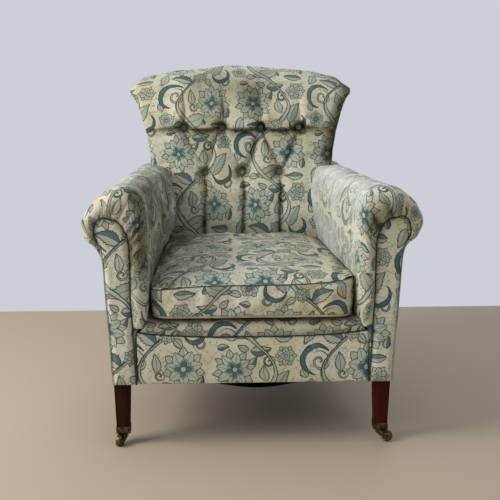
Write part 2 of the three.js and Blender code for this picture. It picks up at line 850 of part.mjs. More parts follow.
// Box cushion with a crowned top: its left front corner has sunk and its right one is pulled up
function seatCushion() {
  const topSteps = 16;
  const bottomSteps = 6;
  const stations = [0, 0.008, 0.03, 0.09, 0.18, 0.3, 0.43, 0.56, 0.69, 0.8, 0.89, 0.95, 0.985, 1];
  const rearY = (z) => backLine(z) - backCrown - cushionGap;
  const bottom = platformTop + clearance;
  const rings = stations.map((t) => {
    const end = t === 0 || t === 1 ? 1 : 0;
    const y = lerp(cushionFrontY, rearY(cushionSeamTop), t);
    const half = armInner(Math.max(y, armPaddingStart), 4) - cushionGap - 3 * end;
    const crown = cushionCrown * (1 - Math.abs(2 * t - 1) ** 4);
    const at = (share, z) => point(share * half, lerp(cushionFrontY, rearY(z), t), z);
    const loop = [];
    spread(-0.94, 0.94, bottomSteps).forEach((s) => loop.push(at(s, bottom + 3 * end)));
    const seamAt = (s) => cushionSeamTop + cushionCornerLift * s ** 3 * (1 - t) ** 2 - 2 * end;
    loop.push(at(0.99, cushionSeamLow));
    loop.push(at(1, (cushionSeamLow + seamAt(1)) / 2));
    spread(0.99, -0.99, topSteps).forEach((s) => {
      loop.push(at(s, seamAt(s) + crown * (1 - Math.abs(s) ** 3)));
    });
    loop.push(at(-1, (cushionSeamLow + seamAt(-1)) / 2));
    loop.push(at(-0.99, cushionSeamLow));
    return loop;
  });
  return loft(rings);
}

// Lattice of webbing straps, nailed under the rails
const webbingTop = railBottom - clearance;

function webbing() {
  const w = webbingWidth / 2;
  const y0 = frameFrontY + 4;
  const y1 = backRailY + railThickness - 4;
  const columns = [-1.5, -0.5, 0.5, 1.5].map((n) => n * (springSpacingX - 20));
  const rows = [0.1, 0.3, 0.5, 0.7, 0.9].map((share) => lerp(sideRailStart, sideRailEnd, share));
  const half = (y) => sideRailOuter(y + w) - 8;
  const lastColumn = columns[columns.length - 1];
  const rightSide = rows.flatMap((y, i) => {
    const corners = [[half(y), y - w], [half(y), y + w]];
    if (i === rows.length - 1) return corners;
    return [...corners, [lastColumn + w, y + w], [lastColumn + w, rows[i + 1] - w]];
  });
  const ends = (y, far) => columns.flatMap((x) => [[x - w, y], [x - w, far], [x + w, far], [x + w, y]]);
  const outline = [
    ...ends(rows[0] - w, y0),
    ...rightSide,
    ...ends(rows[rows.length - 1] + w, y1).reverse(),
    ...rightSide.map(([x, y]) => [-x, y]).reverse(),
  ];
  const z0 = webbingTop - webbingThickness;
  const holes = rows.slice(1).flatMap((y, j) => columns.slice(1).map((x, i) => {
    const u = columns[i] + w;
    const v = rows[j] + w;
    const hole = [[u, v], [x - w, v], [x - w, y - w], [u, y - w]];
    return prism(hole, 'z', z0 - 1, webbingTop + 1);
  }));
  return cut(prism(outline, 'z', z0, webbingTop), ...holes);
}

// Waisted coil spring between the webbing and the platform
class SpringCurve extends THREE.Curve {
  getPoint(t, target = new THREE.Vector3()) {
    const height = platformBottom - railBottom - 2 * springWire - 2 * clearance;
    const radius = lerp(springWaist, springRadius, (2 * t - 1) ** 2);
    const angle = 2 * Math.PI * springTurns * t;
    return target.set(radius * Math.cos(angle), radius * Math.sin(angle), height * (t - 0.5));
  }
}

function spring() {
  const section = new THREE.Shape(spread(0, 1.5 * Math.PI, 3).map((angle) => {
    return new THREE.Vector2(springWire * Math.cos(angle), springWire * Math.sin(angle));
  }));
  const options = { steps: 8 * springTurns, extrudePath: new SpringCurve() };
  return new THREE.ExtrudeGeometry(section, options);
}

// Black cloth tacked under the frame, sagging in the middle
function bottomCloth() {
  const top = webbingTop - webbingThickness - clearance;
  const nearLeg = frameHalfFront - legBlockWidth - 3;
  const rear = sideRailEnd - 3;
  const stations = [
    [frameFrontY + 4, nearLeg],
    [sideRailStart, nearLeg],
    [sideRailStart + 3, sideRailOuter(sideRailStart) - 16],
    ...spread(sideRailStart + 40, rear, 7).map((y) => [y, sideRailOuter(y) - 12]),
  ];
  const across = 8;
  const rings = stations.map(([y, half]) => {
    const share = (y - frameFrontY) / (rear - frameFrontY);
    const sag = bottomClothSag * Math.sin(Math.PI * share) ** 0.6;
    const drop = (s) => sag * (1 - s * s);
    const upper = spread(-1, 1, across).map((s) => point(s * half, y, top - drop(s)));
    const lower = spread(1, -1, across).map((s) => {
      return point(s * half, y, top - bottomClothThickness - drop(s));
    });
    return [...upper, ...lower];
  });
  return loft(rings);
}

// Castor: a square cup on the foot, a horn that swivels under it, an axle and a wheel
function castorCup() {
  const outer = new THREE.BoxGeometry(2 * cupHalf, 2 * cupHalf, cupHeight);
  outer.translate(0, 0, cupBottom + cupHeight / 2);
  const inside = footWidth + 2 * clearance;
  const hollow = new THREE.BoxGeometry(inside, inside, cupHeight);
  hollow.translate(0, 0, cupBottom + cupFloor + cupHeight / 2);
  return cut(outer, hollow, pinBore(0, 0));
}

function castorHorn() {
  const axleZ = wheelRadius;
  const bossBottom = axleZ + 3;
  const boss = new THREE.CylinderGeometry(bossRadius, bossRadius, hornTop - bossBottom, 16);
  boss.rotateX(Math.PI / 2);
  boss.translate(0, 0, (hornTop + bossBottom) / 2);
  const pin = new THREE.CylinderGeometry(pinRadius, pinRadius, pinLength + 4, 12);
  pin.rotateX(Math.PI / 2);
  pin.translate(0, 0, hornTop - 4 + (pinLength + 4) / 2);
  const inner = wheelWidth / 2 + cheekGap;
  const nose = spread(Math.PI / 3, (5 / 3) * Math.PI, 6).map((angle) => {
    return [-trail + cheekNose * Math.cos(angle), axleZ + cheekNose * Math.sin(angle)];
  });
  const cheek = [
    [bossRadius * 0.5, hornTop],
    [-bossRadius, hornTop],
    ...nose,
    [bossRadius * 0.5, bossBottom],
  ];
  const cheeks = [-inner - cheekThickness, inner].map((x) => prism(cheek, 'x', x, x + cheekThickness));
  const hole = axle(axleRadius + boreGap, 2 * (inner + cheekThickness) + 10);
  return cut(join(boss, pin, ...cheeks), hole);
}

const axleLength = wheelWidth + 2 * (cheekGap + cheekThickness) + 1;

function axle(radius, length) {
  const geometry = new THREE.CylinderGeometry(radius, radius, length, 12);
  geometry.rotateZ(Math.PI / 2);
  return geometry.translate(0, -trail, wheelRadius);
}

// Wheel with small flats, one of which stands on the floor
function castorWheel() {
  const half = wheelWidth / 2;
  const step = (2 * Math.PI) / wheelFacets;
  const flat = 1 / Math.cos(step / 2);
  const bore = (axleRadius + boreGap) * flat;
  const profile = [
    [bore, -half],
    [(wheelRadius - 1.2) * flat, -half],
    [wheelRadius * flat, -half + 1.5],
    [wheelRadius * flat, half - 1.5],
    [(wheelRadius - 1.2) * flat, half],
    [bore, half],
    [bore, -half],
  ].map(([r, h]) => new THREE.Vector2(r, h));
  const geometry = new THREE.LatheGeometry(profile, wheelFacets, step / 2);
  geometry.rotateZ(Math.PI / 2);
  return geometry.translate(0, -trail, wheelRadius);
}

// Each castor trails the way it was left, as an angle about the upright from straight ahead
const castors = [
  ['front_left', -legCentreX, frontLegY, -18],
  ['front_right', legCentreX, frontLegY, 37],
  ['back_left', -postCentreX, backLegY, -150],
  ['back_right', postCentreX, backLegY, 125],
];

castors.forEach(([place, x, y, degrees]) => {
  const cup = add(`castor_cup_${place}`, castorCup(), brass);
  cup.position.set(x, y, 0);
  const swivel = new THREE.Group();
  swivel.position.set(x, y, 0);
  swivel.rotation.z = THREE.MathUtils.degToRad(degrees);
  chair.add(swivel);
  add(`castor_horn_${place}`, castorHorn(), brass, swivel);
  add(`castor_axle_${place}`, axle(axleRadius, axleLength), steel, swivel);
  add(`castor_wheel_${place}`, castorWheel(), brass, swivel);
});

// Frame
add('front_seat_rail', crossRail(frameHalfFront - legBlockWidth - clearance, frameFrontY), beech);
add('back_seat_rail', crossRail(frameHalfBack - postWidth - clearance, backRailY), beech);
sides.forEach(([name, side]) => {
  add(`front_leg_${name}`, frontLeg(side), mahogany);
  add(`back_post_${name}`, backPost(side), mahogany);
  add(`side_seat_rail_${name}`, sideRail(side), beech);
  add(`arm_stump_${name}`, armStump(side), beech);
  add(`arm_top_rail_${name}`, armRail(side), beech);
  add(`corner_block_front_${name}`, cornerBlock(side, true), beech);
  add(`corner_block_back_${name}`, cornerBlock(side, false), beech);
});
const crestBottom = postTop + clearance;
const crestRear = postRear - memberGap - seamGap;
const crest = leaning(postFront, crestRear, crestBottom, crestBottom + crestRailHeight);
add('crest_rail', prism(crest, 'x', -frameHalfBack, frameHalfBack), beech);
const lowerHalf = frameHalfBack - postWidth - clearance;
const lower = leaning(postFront, postFront + railThickness, lowerRailZ, lowerRailZ + lowerRailHeight);
add('lower_back_rail', prism(lower, 'x', -lowerHalf, lowerHalf), beech);

// Suspension and cloth below
add('seat_webbing', webbing(), jute);
[0, 1, 2].forEach((row) => [-1, 0, 1].forEach((column) => {
  const coil = add(`seat_spring_${row * 3 + column + 2}`, spring(), steel);
  const z = (railBottom + platformBottom) / 2;
  coil.position.set(column * springSpacingX, springFirstY + row * springSpacingY, z);
}));
add('bottom_cloth', bottomCloth(), blackCloth);

// Upholstery
add('seat_platform', seatPlatform(), print);
add('seat_cushion', seatCushion(), print);
sides.forEach(([name, side]) => {
  add(`arm_upholstery_${name}`, armUpholstery(side), print);
  add(`arm_facing_${name}`, armFacing(side), print);
});
add('inside_back', insideBack(), print);
add('outside_back', outsideBack(), print);
buttonPlaces.forEach(([x, z], i) => {
  const button = add(`back_button_${i + 1}`, backButton(), print);
  button.position.set(x, backLine(z) + buttonDepth - clearance, z);
  button.rotation.x = Math.PI - Math.atan(rake);
});

// The origin is under the middle of the chair's box, on the floor
chair.updateMatrixWorld(true);
const bounds = new THREE.Box3().setFromObject(chair, true);
chair.position.y = -(bounds.min.y + bounds.max.y) / 2;
const group = new THREE.Group();
group.add(chair);

export default group;
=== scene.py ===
"""Looks of an old armchair in a worn printed cotton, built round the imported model.

Sizes are in metres in the model's own frame: +X right, -Y front, +Z up.
"""
import json
import math

import bmesh
import bpy
import numpy as np
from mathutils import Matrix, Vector


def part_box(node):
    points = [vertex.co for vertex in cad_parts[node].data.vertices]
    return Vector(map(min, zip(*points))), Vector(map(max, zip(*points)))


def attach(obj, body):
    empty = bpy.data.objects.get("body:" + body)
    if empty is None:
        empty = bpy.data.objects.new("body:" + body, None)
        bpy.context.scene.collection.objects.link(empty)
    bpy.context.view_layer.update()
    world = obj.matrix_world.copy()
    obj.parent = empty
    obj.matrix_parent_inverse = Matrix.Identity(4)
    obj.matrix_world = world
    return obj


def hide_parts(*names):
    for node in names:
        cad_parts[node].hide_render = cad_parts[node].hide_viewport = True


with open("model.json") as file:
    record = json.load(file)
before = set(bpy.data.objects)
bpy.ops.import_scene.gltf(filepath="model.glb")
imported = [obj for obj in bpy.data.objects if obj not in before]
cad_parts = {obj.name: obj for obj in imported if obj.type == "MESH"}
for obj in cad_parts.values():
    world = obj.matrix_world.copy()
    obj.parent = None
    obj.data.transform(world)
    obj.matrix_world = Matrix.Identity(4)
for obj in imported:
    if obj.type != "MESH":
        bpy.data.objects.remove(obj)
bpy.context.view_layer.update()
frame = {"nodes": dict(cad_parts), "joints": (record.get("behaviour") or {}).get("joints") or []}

scene = bpy.context.scene
bpy.ops.object.select_all(action="DESELECT")


def linked(name, data):
    """A new object in the scene, from its data."""
    piece = bpy.data.objects.new(name, data)
    scene.collection.objects.link(piece)
    return piece


# ---------------------------------------------------------------- camera and lamps
# Depths are worked out from the front edge of the arms' frame, which lies here in the model
DEPTH_SHIFT = -0.41685

camera_data = bpy.data.cameras.new("camera")
camera_data.lens = 75.5
camera_data.sensor_width = 36
camera = linked("camera", camera_data)
camera.location = (-0.112, -2.70685, 0.933)
camera.rotation_euler = (math.radians(78.4), 0, math.radians(-2.62))
scene.camera = camera
scene.view_settings.view_transform = "Standard"

# Name, place, aim, size, power in watts and colour
LAMPS = [
    ("window", (-2.5, -1.0, 1.9), (0.1, 0.0, 0.4), (1.6, 1.8), 74, (1.0, 0.99, 0.97)),
    ("room", (1.2, -3.0, 1.9), (0.0, 0.0, 0.4), (2.2, 1.8), 7, (0.95, 0.97, 1.0)),
    ("ceiling", (0.0, 0.1, 2.6), (0.0, 0.0, 0.3), (2.4, 2.0), 8, (1.0, 1.0, 1.0)),
    ("rear", (0.9, 3.0, 1.8), (0.0, 0.2, 0.4), (2.0, 1.6), 14, (0.97, 0.98, 1.0)),
]
for name, place, aim, size, power, colour in LAMPS:
    lamp_data = bpy.data.lights.new(name, "AREA")
    lamp_data.shape = "RECTANGLE"
    lamp_data.size, lamp_data.size_y = size
    lamp_data.energy = power
    lamp_data.color = colour
    lamp = linked(name, lamp_data)
    lamp.location = place
    lamp.rotation_euler = (Vector(aim) - Vector(place)).to_track_quat("-Z", "Y").to_euler()


# ---------------------------------------------------------------- shader maths
class Field:
    """A value that changes over a surface. Python's operators on it add Math nodes."""

    def __init__(self, finish, link):
        self.finish = finish
        self.link = link

    def maths(self, operation, *others):
        inputs = {0: self.link}
        for place, other in enumerate(others, 1):
            inputs[place] = other.link if isinstance(other, Field) else other
        node = self.finish.node("ShaderNodeMath", {"operation": operation}, inputs)
        return Field(self.finish, node.outputs[0])

    def __add__(self, other): return self.maths("ADD", other)
    def __radd__(self, other): return self.maths("ADD", other)
    def __sub__(self, other): return self.maths("SUBTRACT", other)
    def __rsub__(self, other): return Field(self.finish, self.finish.node(
        "ShaderNodeMath", {"operation": "SUBTRACT"}, {0: other, 1: self.link}).outputs[0])
    def __mul__(self, other): return self.maths("MULTIPLY", other)
    def __rmul__(self, other): return self.maths("MULTIPLY", other)
    def __truediv__(self, other): return self.maths("DIVIDE", other)
    def __pow__(self, other): return self.maths("POWER", other)
    def sqrt(self): return self.maths("SQRT")
    def abs(self): return self.maths("ABSOLUTE")
    def sin(self): return self.maths("SINE")
    def cos(self): return self.maths("COSINE")
    def floor(self): return self.maths("FLOOR")
    def fract(self): return self.maths("FRACT")
    def atan2(self, other): return self.maths("ARCTAN2", other)
    def max(self, other): return self.maths("MAXIMUM", other)

    def clip(self):
        settings = {"operation": "ADD", "use_clamp": True}
        node = self.finish.node("ShaderNodeMath", settings, {0: self.link, 1: 0.0})
        return Field(self.finish, node.outputs[0])

    def between(self, low, high):
        """Nought at low, one at high and beyond, with a soft start and end."""
        inputs = {"Value": self.link, "From Min": low, "From Max": high}
        settings = {"interpolation_type": "SMOOTHSTEP"}
        node = self.finish.node("ShaderNodeMapRange", settings, inputs)
        return Field(self.finish, node.outputs["Result"])


class Nodes:
    """A tree of shader nodes."""

    def __init__(self, tree):
        self.tree = tree

    def node(self, kind, settings=None, inputs=None):
        """Any node, from its type, its settings and the values or links of its sockets."""
        node = self.tree.nodes.new(kind)
        for key, value in (settings or {}).items():
            setattr(node, key, value)
        for key, value in (inputs or {}).items():
            socket = node.inputs[key]
            value = value.link if isinstance(value, Field) else value
            if isinstance(value, bpy.types.NodeSocket):
                self.tree.links.new(value, socket)
            elif isinstance(value, tuple) and len(value) == 3 and socket.type == "RGBA":
                socket.default_value = (*value, 1.0)
            else:
                socket.default_value = value
        return node


class Finish(Nodes):
    """A material made of nodes, with one Principled shader at its end."""

    def __init__(self, name, roughness=0.5, metallic=0.0):
        self.material = bpy.data.materials.get(name) or bpy.data.materials.new(name)
        self.material.use_nodes = True
        super().__init__(self.material.node_tree)
        self.shader = self.tree.nodes["Principled BSDF"]
        self.shader.inputs["Roughness"].default_value = roughness
        self.shader.inputs["Metallic"].default_value = metallic

    def place(self, source="Object"):
        """Where a point is, on the piece itself or on its flat cloth."""
        if source == "cloth":
            return self.node("ShaderNodeUVMap", {"uv_map": "cloth"}).outputs["UV"]
        return self.node("ShaderNodeTexCoord").outputs[source]

    def split(self, vector):
        node = self.node("ShaderNodeSeparateXYZ", None, {0: vector})
        return [Field(self, output) for output in node.outputs]

    def scaled(self, vector, scale):
        node = self.node("ShaderNodeMapping", None, {"Vector": vector, "Scale": scale})
        return node.outputs[0]

    def noise(self, vector, scale, detail=3.0, roughness=0.55):
        inputs = {"Vector": vector, "Scale": scale, "Detail": detail, "Roughness": roughness}
        return Field(self, self.node("ShaderNodeTexNoise", None, inputs).outputs[0])

    def mix(self, factor, first, second, blend="MIX"):
        settings = {"data_type": "RGBA", "blend_type": blend}
        node = self.node("ShaderNodeMix", settings, {0: factor, 6: first, 7: second})
        return node.outputs[2]

    def feed(self, socket, value):
        value = value.link if isinstance(value, Field) else value
        self.tree.links.new(value, self.shader.inputs[socket])

    def relief(self, height, distance, strength=1.0):
        inputs = {"Height": height, "Distance": distance, "Strength": strength}
        bump = self.node("ShaderNodeBump", None, inputs)
        self.tree.links.new(bump.outputs[0], self.shader.inputs["Normal"])


def paint(red, green, blue):
    """A colour as it is seen, from nought to 255, made linear for the shader."""
    def linear(value):
        value = value / 255
        return value / 12.92 if value <= 0.04045 else ((value + 0.055) / 1.055) ** 2.4
    return (linear(red), linear(green), linear(blue))


# ---------------------------------------------------------------- the print on the cotton
REPEAT_WIDTH = 0.21
REPEAT_HEIGHT = 0.28
INK_EDGE = 0.0012


def within(distance, edge=INK_EDGE):
    """One inside a form, nought outside, from its signed distance in metres."""
    inputs = {"Value": distance, "From Min": edge * -0.5, "From Max": edge * 0.5}
    inputs.update({"To Min": 1.0, "To Max": 0.0})
    node = distance.finish.node("ShaderNodeMapRange", None, inputs)
    return Field(distance.finish, node.outputs["Result"])


def outline(distance, half):
    return within(distance.abs() - half)


def turned(x, y, px, py, angle):
    """The place of a motif as seen from its own centre and direction."""
    c, s = angle.cos(), angle.sin()
    dx, dy = x - px, y - py
    return dx * c + dy * s, dy * c - dx * s


def motif(make):
    """Puts the nodes of a motif in one group, which all its copies on the cloth share."""
    groups = []

    def copy(x, y, px, py, degrees, *sizes):
        values = (x, y, px, py, math.radians(degrees), *sizes)
        if not groups:
            groups.append(bpy.data.node_groups.new(make.__name__, "ShaderNodeTree"))
            sockets = [(f"value_{number}", "INPUT") for number in range(len(values))]
            sockets += [(word, "OUTPUT") for word in ("lines", "solid", "wash")]
            for word, way in sockets:
                groups[0].interface.new_socket(word, in_out=way, socket_type="NodeSocketFloat")
            nodes = Nodes(groups[0])
            entry = nodes.node("NodeGroupInput").outputs
            made = make(*(Field(nodes, entry[number]) for number in range(len(values))))
            nodes.node("NodeGroupOutput", None, dict(enumerate(made)))
        group = x.finish.node("ShaderNodeGroup", {"node_tree": groups[0]}, dict(enumerate(values)))
        return [Field(x.finish, output) for output in group.outputs]
    return copy


def petal_ring(r, angle, petals, offset, low, high, wide):
    """A ring of pointed petals: distances to their edges and middle lines, and where the ring is."""
    away = ((angle * petals / (2 * math.pi) + offset).fract() - 0.5).abs() * r * (2 * math.pi) / petals
    s = (r - (low + high) / 2) / ((high - low) / 2)
    half = (1 - s * s).max(0.0) * (1.0 - 0.3 * s) * wide
    return away - half, away, within(s.abs() - 1, 0.06)


@motif
def flower(x, y, px, py, angle, size, petals, points, bold):
    """A bloom: a solid star round a pale eye, and two rings of lined petals."""
    dx, dy = turned(x, y, px, py, angle)
    r = (dx * dx + dy * dy).sqrt()
    around = dy.atan2(dx)
    spread = size / petals * math.pi
    front, front_mid, front_held = petal_ring(
        r, around, petals, 0.0, size * 0.26, size * 0.86, spread * 0.52)
    rear, rear_mid, rear_held = petal_ring(r, around, petals, 0.5, size * 0.34, size, spread * 0.46)
    star = r - size * (0.42 - 0.48 * ((around * points / (2 * math.pi)).fract() - 0.5).abs())
    eye = r - size * 0.12
    covered = within(star - 0.0025)
    lines = outline(front, 0.0013).max(within(front_mid - 0.0005) * within(front + 0.003)) * front_held
    back_lines = outline(rear, 0.0013).max(within(rear_mid - 0.0005) * within(rear + 0.003) * 0.8)
    lines = lines.max(back_lines * rear_held * (1 - within(front))) * (1 - covered)
    lines = lines.max(outline(star - 0.0020, 0.0008)).max(outline(eye, 0.0008))
    wash = (within(front) * front_held).max(within(rear) * rear_held).max(covered)
    return lines, within(star) * (1 - within(eye)) * bold, wash


@motif
def leaf(x, y, px, py, angle, length, width, bend, shade):
    """A curved, toothed leaf with a midrib and side veins, half of it inked where it is bold."""
    dx, dy = turned(x, y, px, py, angle)
    s = dx / length
    off = dy - bend * (1 - s * s)
    half = (1 - s * s).max(0.0) * (1.12 - 0.42 * s) * (1 + 0.24 * (s * 4.0 + 0.2).fract()) * width
    edge = off.abs() - half
    held = within(s.abs() - 1, 0.03)
    ribs = ((s * 6.0 - off.abs() / width * 2.4).fract() - 0.5).abs() - 0.09
    ribs = within(ribs, 0.10) * within(edge + 0.0012) * 0.55
    midrib = outline(off, 0.0007) * within(s.abs() - 0.9, 0.03)
    lines = (outline(edge, 0.0014).max(ribs) * held).max(midrib)
    return lines, within(edge) * within(off) * held * shade, within(edge) * held


@motif
def scroll(x, y, px, py, angle, size, hand, half, bold):
    """A tendril wound up in a spiral and drawn with two lines, or filled in."""
    dx, dy = turned(x, y, px, py, angle)
    r = (dx * dx + dy * dy).sqrt()
    pitch = size / 1.35
    arm = ((r / pitch - dy.atan2(dx) * hand / (2 * math.pi)).fract() - 0.5).abs() * pitch
    reach = within(r - size)
    edge = arm - half * (0.35 + r / size * 0.65)
    return outline(edge, 0.0012) * reach, within(edge) * reach * bold, within(edge) * reach


@motif
def crescent(x, y, px, py, angle, size, thick, bold):
    """An arching stem, thickest in its middle and pointed at both ends."""
    dx, dy = turned(x, y, px, py, angle)
    r = (dx * dx + dy * dy).sqrt()
    reach = (dx / size * 0.5 + 0.5).clip()
    edge = (r - size).abs() - (reach - 0.28).max(0.0) * thick / 0.72
    held = within(0.0 - dx - size * 0.35)
    return outline(edge, 0.0012) * held, within(edge) * held * bold, within(edge) * held


def stem(x, y, sway, half):
    """A winding stem in two lines that runs up through every repeat."""
    turn = 2 * math.pi / REPEAT_HEIGHT
    bend = y * turn
    slope = bend.cos() * (sway * turn)
    away = (x - bend.sin() * sway) / (slope * slope + 1).sqrt()
    thick = (bend * 2).sin() * (half * 0.4) + half
    edge = away.abs() - thick
    filled = within(away) * ((bend + 0.6).cos() * 2.0).clip()
    return outline(edge, 0.0013), within(edge) * filled, within(edge)


# Each motif's place in the repeat and its turn in degrees, and then for flowers size, petals, points
# of the star and ink
FLOWERS = [
    (-0.046, 0.074, 12, 0.052, 8, 5, 1.0), (0.050, -0.062, 40, 0.050, 7, 4, 1.0),
    (0.074, 0.108, 0, 0.026, 6, 3, 0.35), (-0.079, -0.112, 20, 0.023, 5, 5, 0.9),
    (0.012, 0.010, 20, 0.020, 6, 3, 0.2),
]
# Crescents: size, thickness and ink
CRESCENTS = [(-0.064, -0.046, 150, 0.034, 0.0062, 1.0), (0.072, 0.022, -60, 0.024, 0.0050, 1.0)]
# Leaves: length, width, bend and ink
LEAVES = [
    (0.066, 0.044, 60, 0.034, 0.0125, 0.006, 0.2), (-0.036, 0.004, 155, 0.030, 0.0115, -0.005, 0.9),
    (-0.088, 0.014, 250, 0.024, 0.0090, 0.004, 0.0), (-0.008, -0.112, 200, 0.036, 0.0130, 0.006, 0.1),
    (0.016, 0.122, 8, 0.025, 0.0090, -0.003, 0.9), (0.026, 0.066, 100, 0.021, 0.0085, 0.003, 0.0),
    (-0.014, -0.050, 95, 0.022, 0.0085, -0.003, 0.0), (0.066, -0.126, 176, 0.024, 0.0080, 0.003, 0.8),
    (-0.046, -0.129, 5, 0.016, 0.0060, 0.002, 0.0), (0.000, 0.092, 60, 0.016, 0.0065, 0.002, 0.9),
    (0.036, -0.008, -40, 0.016, 0.0060, 0.002, 0.0), (0.092, -0.092, 80, 0.015, 0.0060, 0.002, 0.9),
    (-0.094, -0.074, 110, 0.014, 0.0060, 0.002, 0.0), (-0.024, 0.128, 150, 0.014, 0.0055, 0.002, 0.0),
    (0.020, -0.112, 120, 0.015, 0.0060, 0.002, 0.9), (-0.070, 0.128, 10, 0.014, 0.0055, 0.002, 0.9),
]
# Scrolls: size, hand, thickness and ink
SCROLLS = [
    (-0.058, -0.046, 100, 0.024, 1, 0.0030, 0.0), (0.086, -0.006, 200, 0.016, 1, 0.0024, 0.0),
    (0.036, 0.094, 20, 0.015, -1, 0.0024, 0.8), (-0.006, -0.078, 60, 0.014, 1, 0.0022, 0.0),
]


def print_inks(u, v):
    """Ink lines, solid ink and wash of the print at a place on the cloth."""
    column = (u / REPEAT_WIDTH).floor()
    x = (u / REPEAT_WIDTH - column - 0.5) * REPEAT_WIDTH
    row = v / REPEAT_HEIGHT + column * 0.5
    y = (row - row.floor() - 0.5) * REPEAT_HEIGHT
    layers = [flower(x, y, *sizes) for sizes in FLOWERS] + [stem(x, y, 0.052, 0.0036)]
    layers += [crescent(x, y, *sizes) for sizes in CRESCENTS]
    layers += [leaf(x, y, *sizes) for sizes in LEAVES] + [scroll(x, y, *sizes) for sizes in SCROLLS]
    lines, solid, wash = layers[0]
    for more in layers[1:]:
        clear = 1 - wash
        lines = lines.max(more[0] * clear)
        solid = solid.max(more[1] * clear)
        wash = wash.max(more[2])
    return lines, solid, wash


def printed_cotton():
    finish = Finish("printed_cotton", roughness=0.9)
    cloth = finish.place("cloth")
    here = finish.place()
    drift = finish.noise(cloth, 9.0, 2.0)
    u, v, _ = finish.split(cloth)
    shaky = finish.noise(cloth, 170.0, 2.0)
    lines, solid, wash = print_inks(
        u + drift * 0.024 + shaky * 0.0032, v + drift * 0.020 - shaky * 0.0032)

    warp = finish.noise(finish.scaled(cloth, (2600.0, 120.0, 1.0)), 1.0, 1.0)
    weft = finish.noise(finish.scaled(cloth, (120.0, 2600.0, 1.0)), 1.0, 1.0)
    slub = finish.noise(cloth, 420.0, 3.0, 0.7)
    soil_and_shade = finish.noise(here, 6.0, 5.0, 0.6)
    patch = finish.noise(here, 17.0, 4.0, 0.65)
    worn = finish.noise(here, 38.0, 6.0, 0.7)
    veins = finish.noise(cloth, 46.0, 2.0, 0.5)
    # Per-point soil, fading, painted light and painted shade, stored on each cotton piece
    dirt_and_shade_layer = finish.node("ShaderNodeAttribute", {"attribute_name": "grime_and_shade"})
    grime_and_shade = Field(finish, dirt_and_shade_layer.outputs["Fac"])

    ground = finish.mix(soil_and_shade.between(0.36, 0.68), paint(228, 225, 206), paint(216, 209, 174))
    ground = finish.mix(patch.between(0.50, 0.80) * 0.65, ground, paint(186, 169, 128))
    ground = finish.mix(worn.between(0.56, 0.80) * 0.5, ground, paint(236, 235, 224))
    kept = (1.05 - worn.between(0.48, 0.86) * 0.5 - slub.between(0.50, 0.72) * 0.42).clip()
    faint = within((veins - 0.5).abs() - 0.012, 0.02) * (1.0 - wash) * kept
    ink = finish.mix(faint * 0.6, ground, paint(104, 126, 112))
    ink = finish.mix(wash * kept * 0.52, ink, paint(152, 178, 166))
    teal = finish.mix(patch.between(0.3, 0.7), paint(16, 86, 100), paint(44, 106, 113))
    ink = finish.mix(solid * kept * 0.92, ink, teal)
    drawn = finish.mix(soil_and_shade.between(0.4, 0.6), paint(26, 56, 60), paint(44, 56, 44))
    ink = finish.mix(lines * kept * 0.95, ink, drawn)
    grain = (warp + weft) * 0.5
    ink = finish.mix((grain - 0.5).abs() * 0.8, ink, paint(110, 104, 80))
    # Paled where the attribute is below nought, as fading and painted light, and darkened where it is
    # above, as soil and painted shade
    ink = finish.mix((grime_and_shade * -1.0).clip(), ink, paint(225, 231, 225))
    ink = finish.mix(grime_and_shade.clip(), ink, paint(112, 100, 72), "MULTIPLY")
    finish.feed("Base Color", ink)
    finish.feed("Roughness", worn * 0.12 + 0.82)
    finish.relief(grain * 0.7 + slub * 0.6 + veins * 0.5, 0.0007, 0.6)
    finish.shader.inputs["Sheen Weight"].default_value = 0.12
    finish.shader.inputs["Specular IOR Level"].default_value = 0.22
    return finish.material


def plain_cloth(name, colour, shade, scale=900.0):
    finish = Finish(name)
    here = finish.place()
    soil_and_shade = finish.noise(here, 14.0, 5.0, 0.65)
    thread = finish.noise(here, scale, 2.0)
    tone = finish.mix(soil_and_shade.between(0.35, 0.72), colour, shade)
    finish.feed("Base Color", finish.mix(thread.between(0.35, 0.75) * 0.4, tone, shade))
    finish.feed("Roughness", soil_and_shade * 0.1 + 0.87)
    finish.relief(thread, 0.0004, 0.6)
    finish.shader.inputs["Specular IOR Level"].default_value = 0.2
    return finish.material


def polished_wood(name, light, dark, roughness, axis=(55.0, 55.0, 4.0), red=None):
    finish = Finish(name, roughness=roughness)
    here = finish.place()
    grain = finish.noise(finish.scaled(here, axis), 1.0, 6.0, 0.62)
    pore = finish.noise(finish.scaled(here, tuple(a * 9 for a in axis)), 1.0, 3.0, 0.6)
    wear = finish.noise(here, 45.0, 5.0, 0.7)
    tone = finish.mix(grain.between(0.32, 0.68), light, dark)
    tone = finish.mix(pore.between(0.58, 0.74) * 0.6, tone, tuple(c * 0.45 for c in dark))
    # Painted light: towards the chair's right the wood is mixed to a redder tone, the colour of its
    # lit legs
    if red:
        x, _, _ = finish.split(here)
        tone = finish.mix(x.between(-0.2, 0.3) * 0.75, tone, finish.mix(grain, red, dark))
    pale = tuple(min(1.0, c * 2.0 + 0.01) for c in light)
    tone = finish.mix(wear.between(0.68, 0.84) * 0.35, tone, pale)
    finish.feed("Base Color", tone)
    finish.feed("Roughness", wear.between(0.4, 0.8) * 0.25 + roughness)
    finish.shader.inputs["Specular IOR Level"].default_value = 0.10
    finish.relief(pore * 0.4 + grain * 0.5, 0.0004, 0.35)
    return finish.material


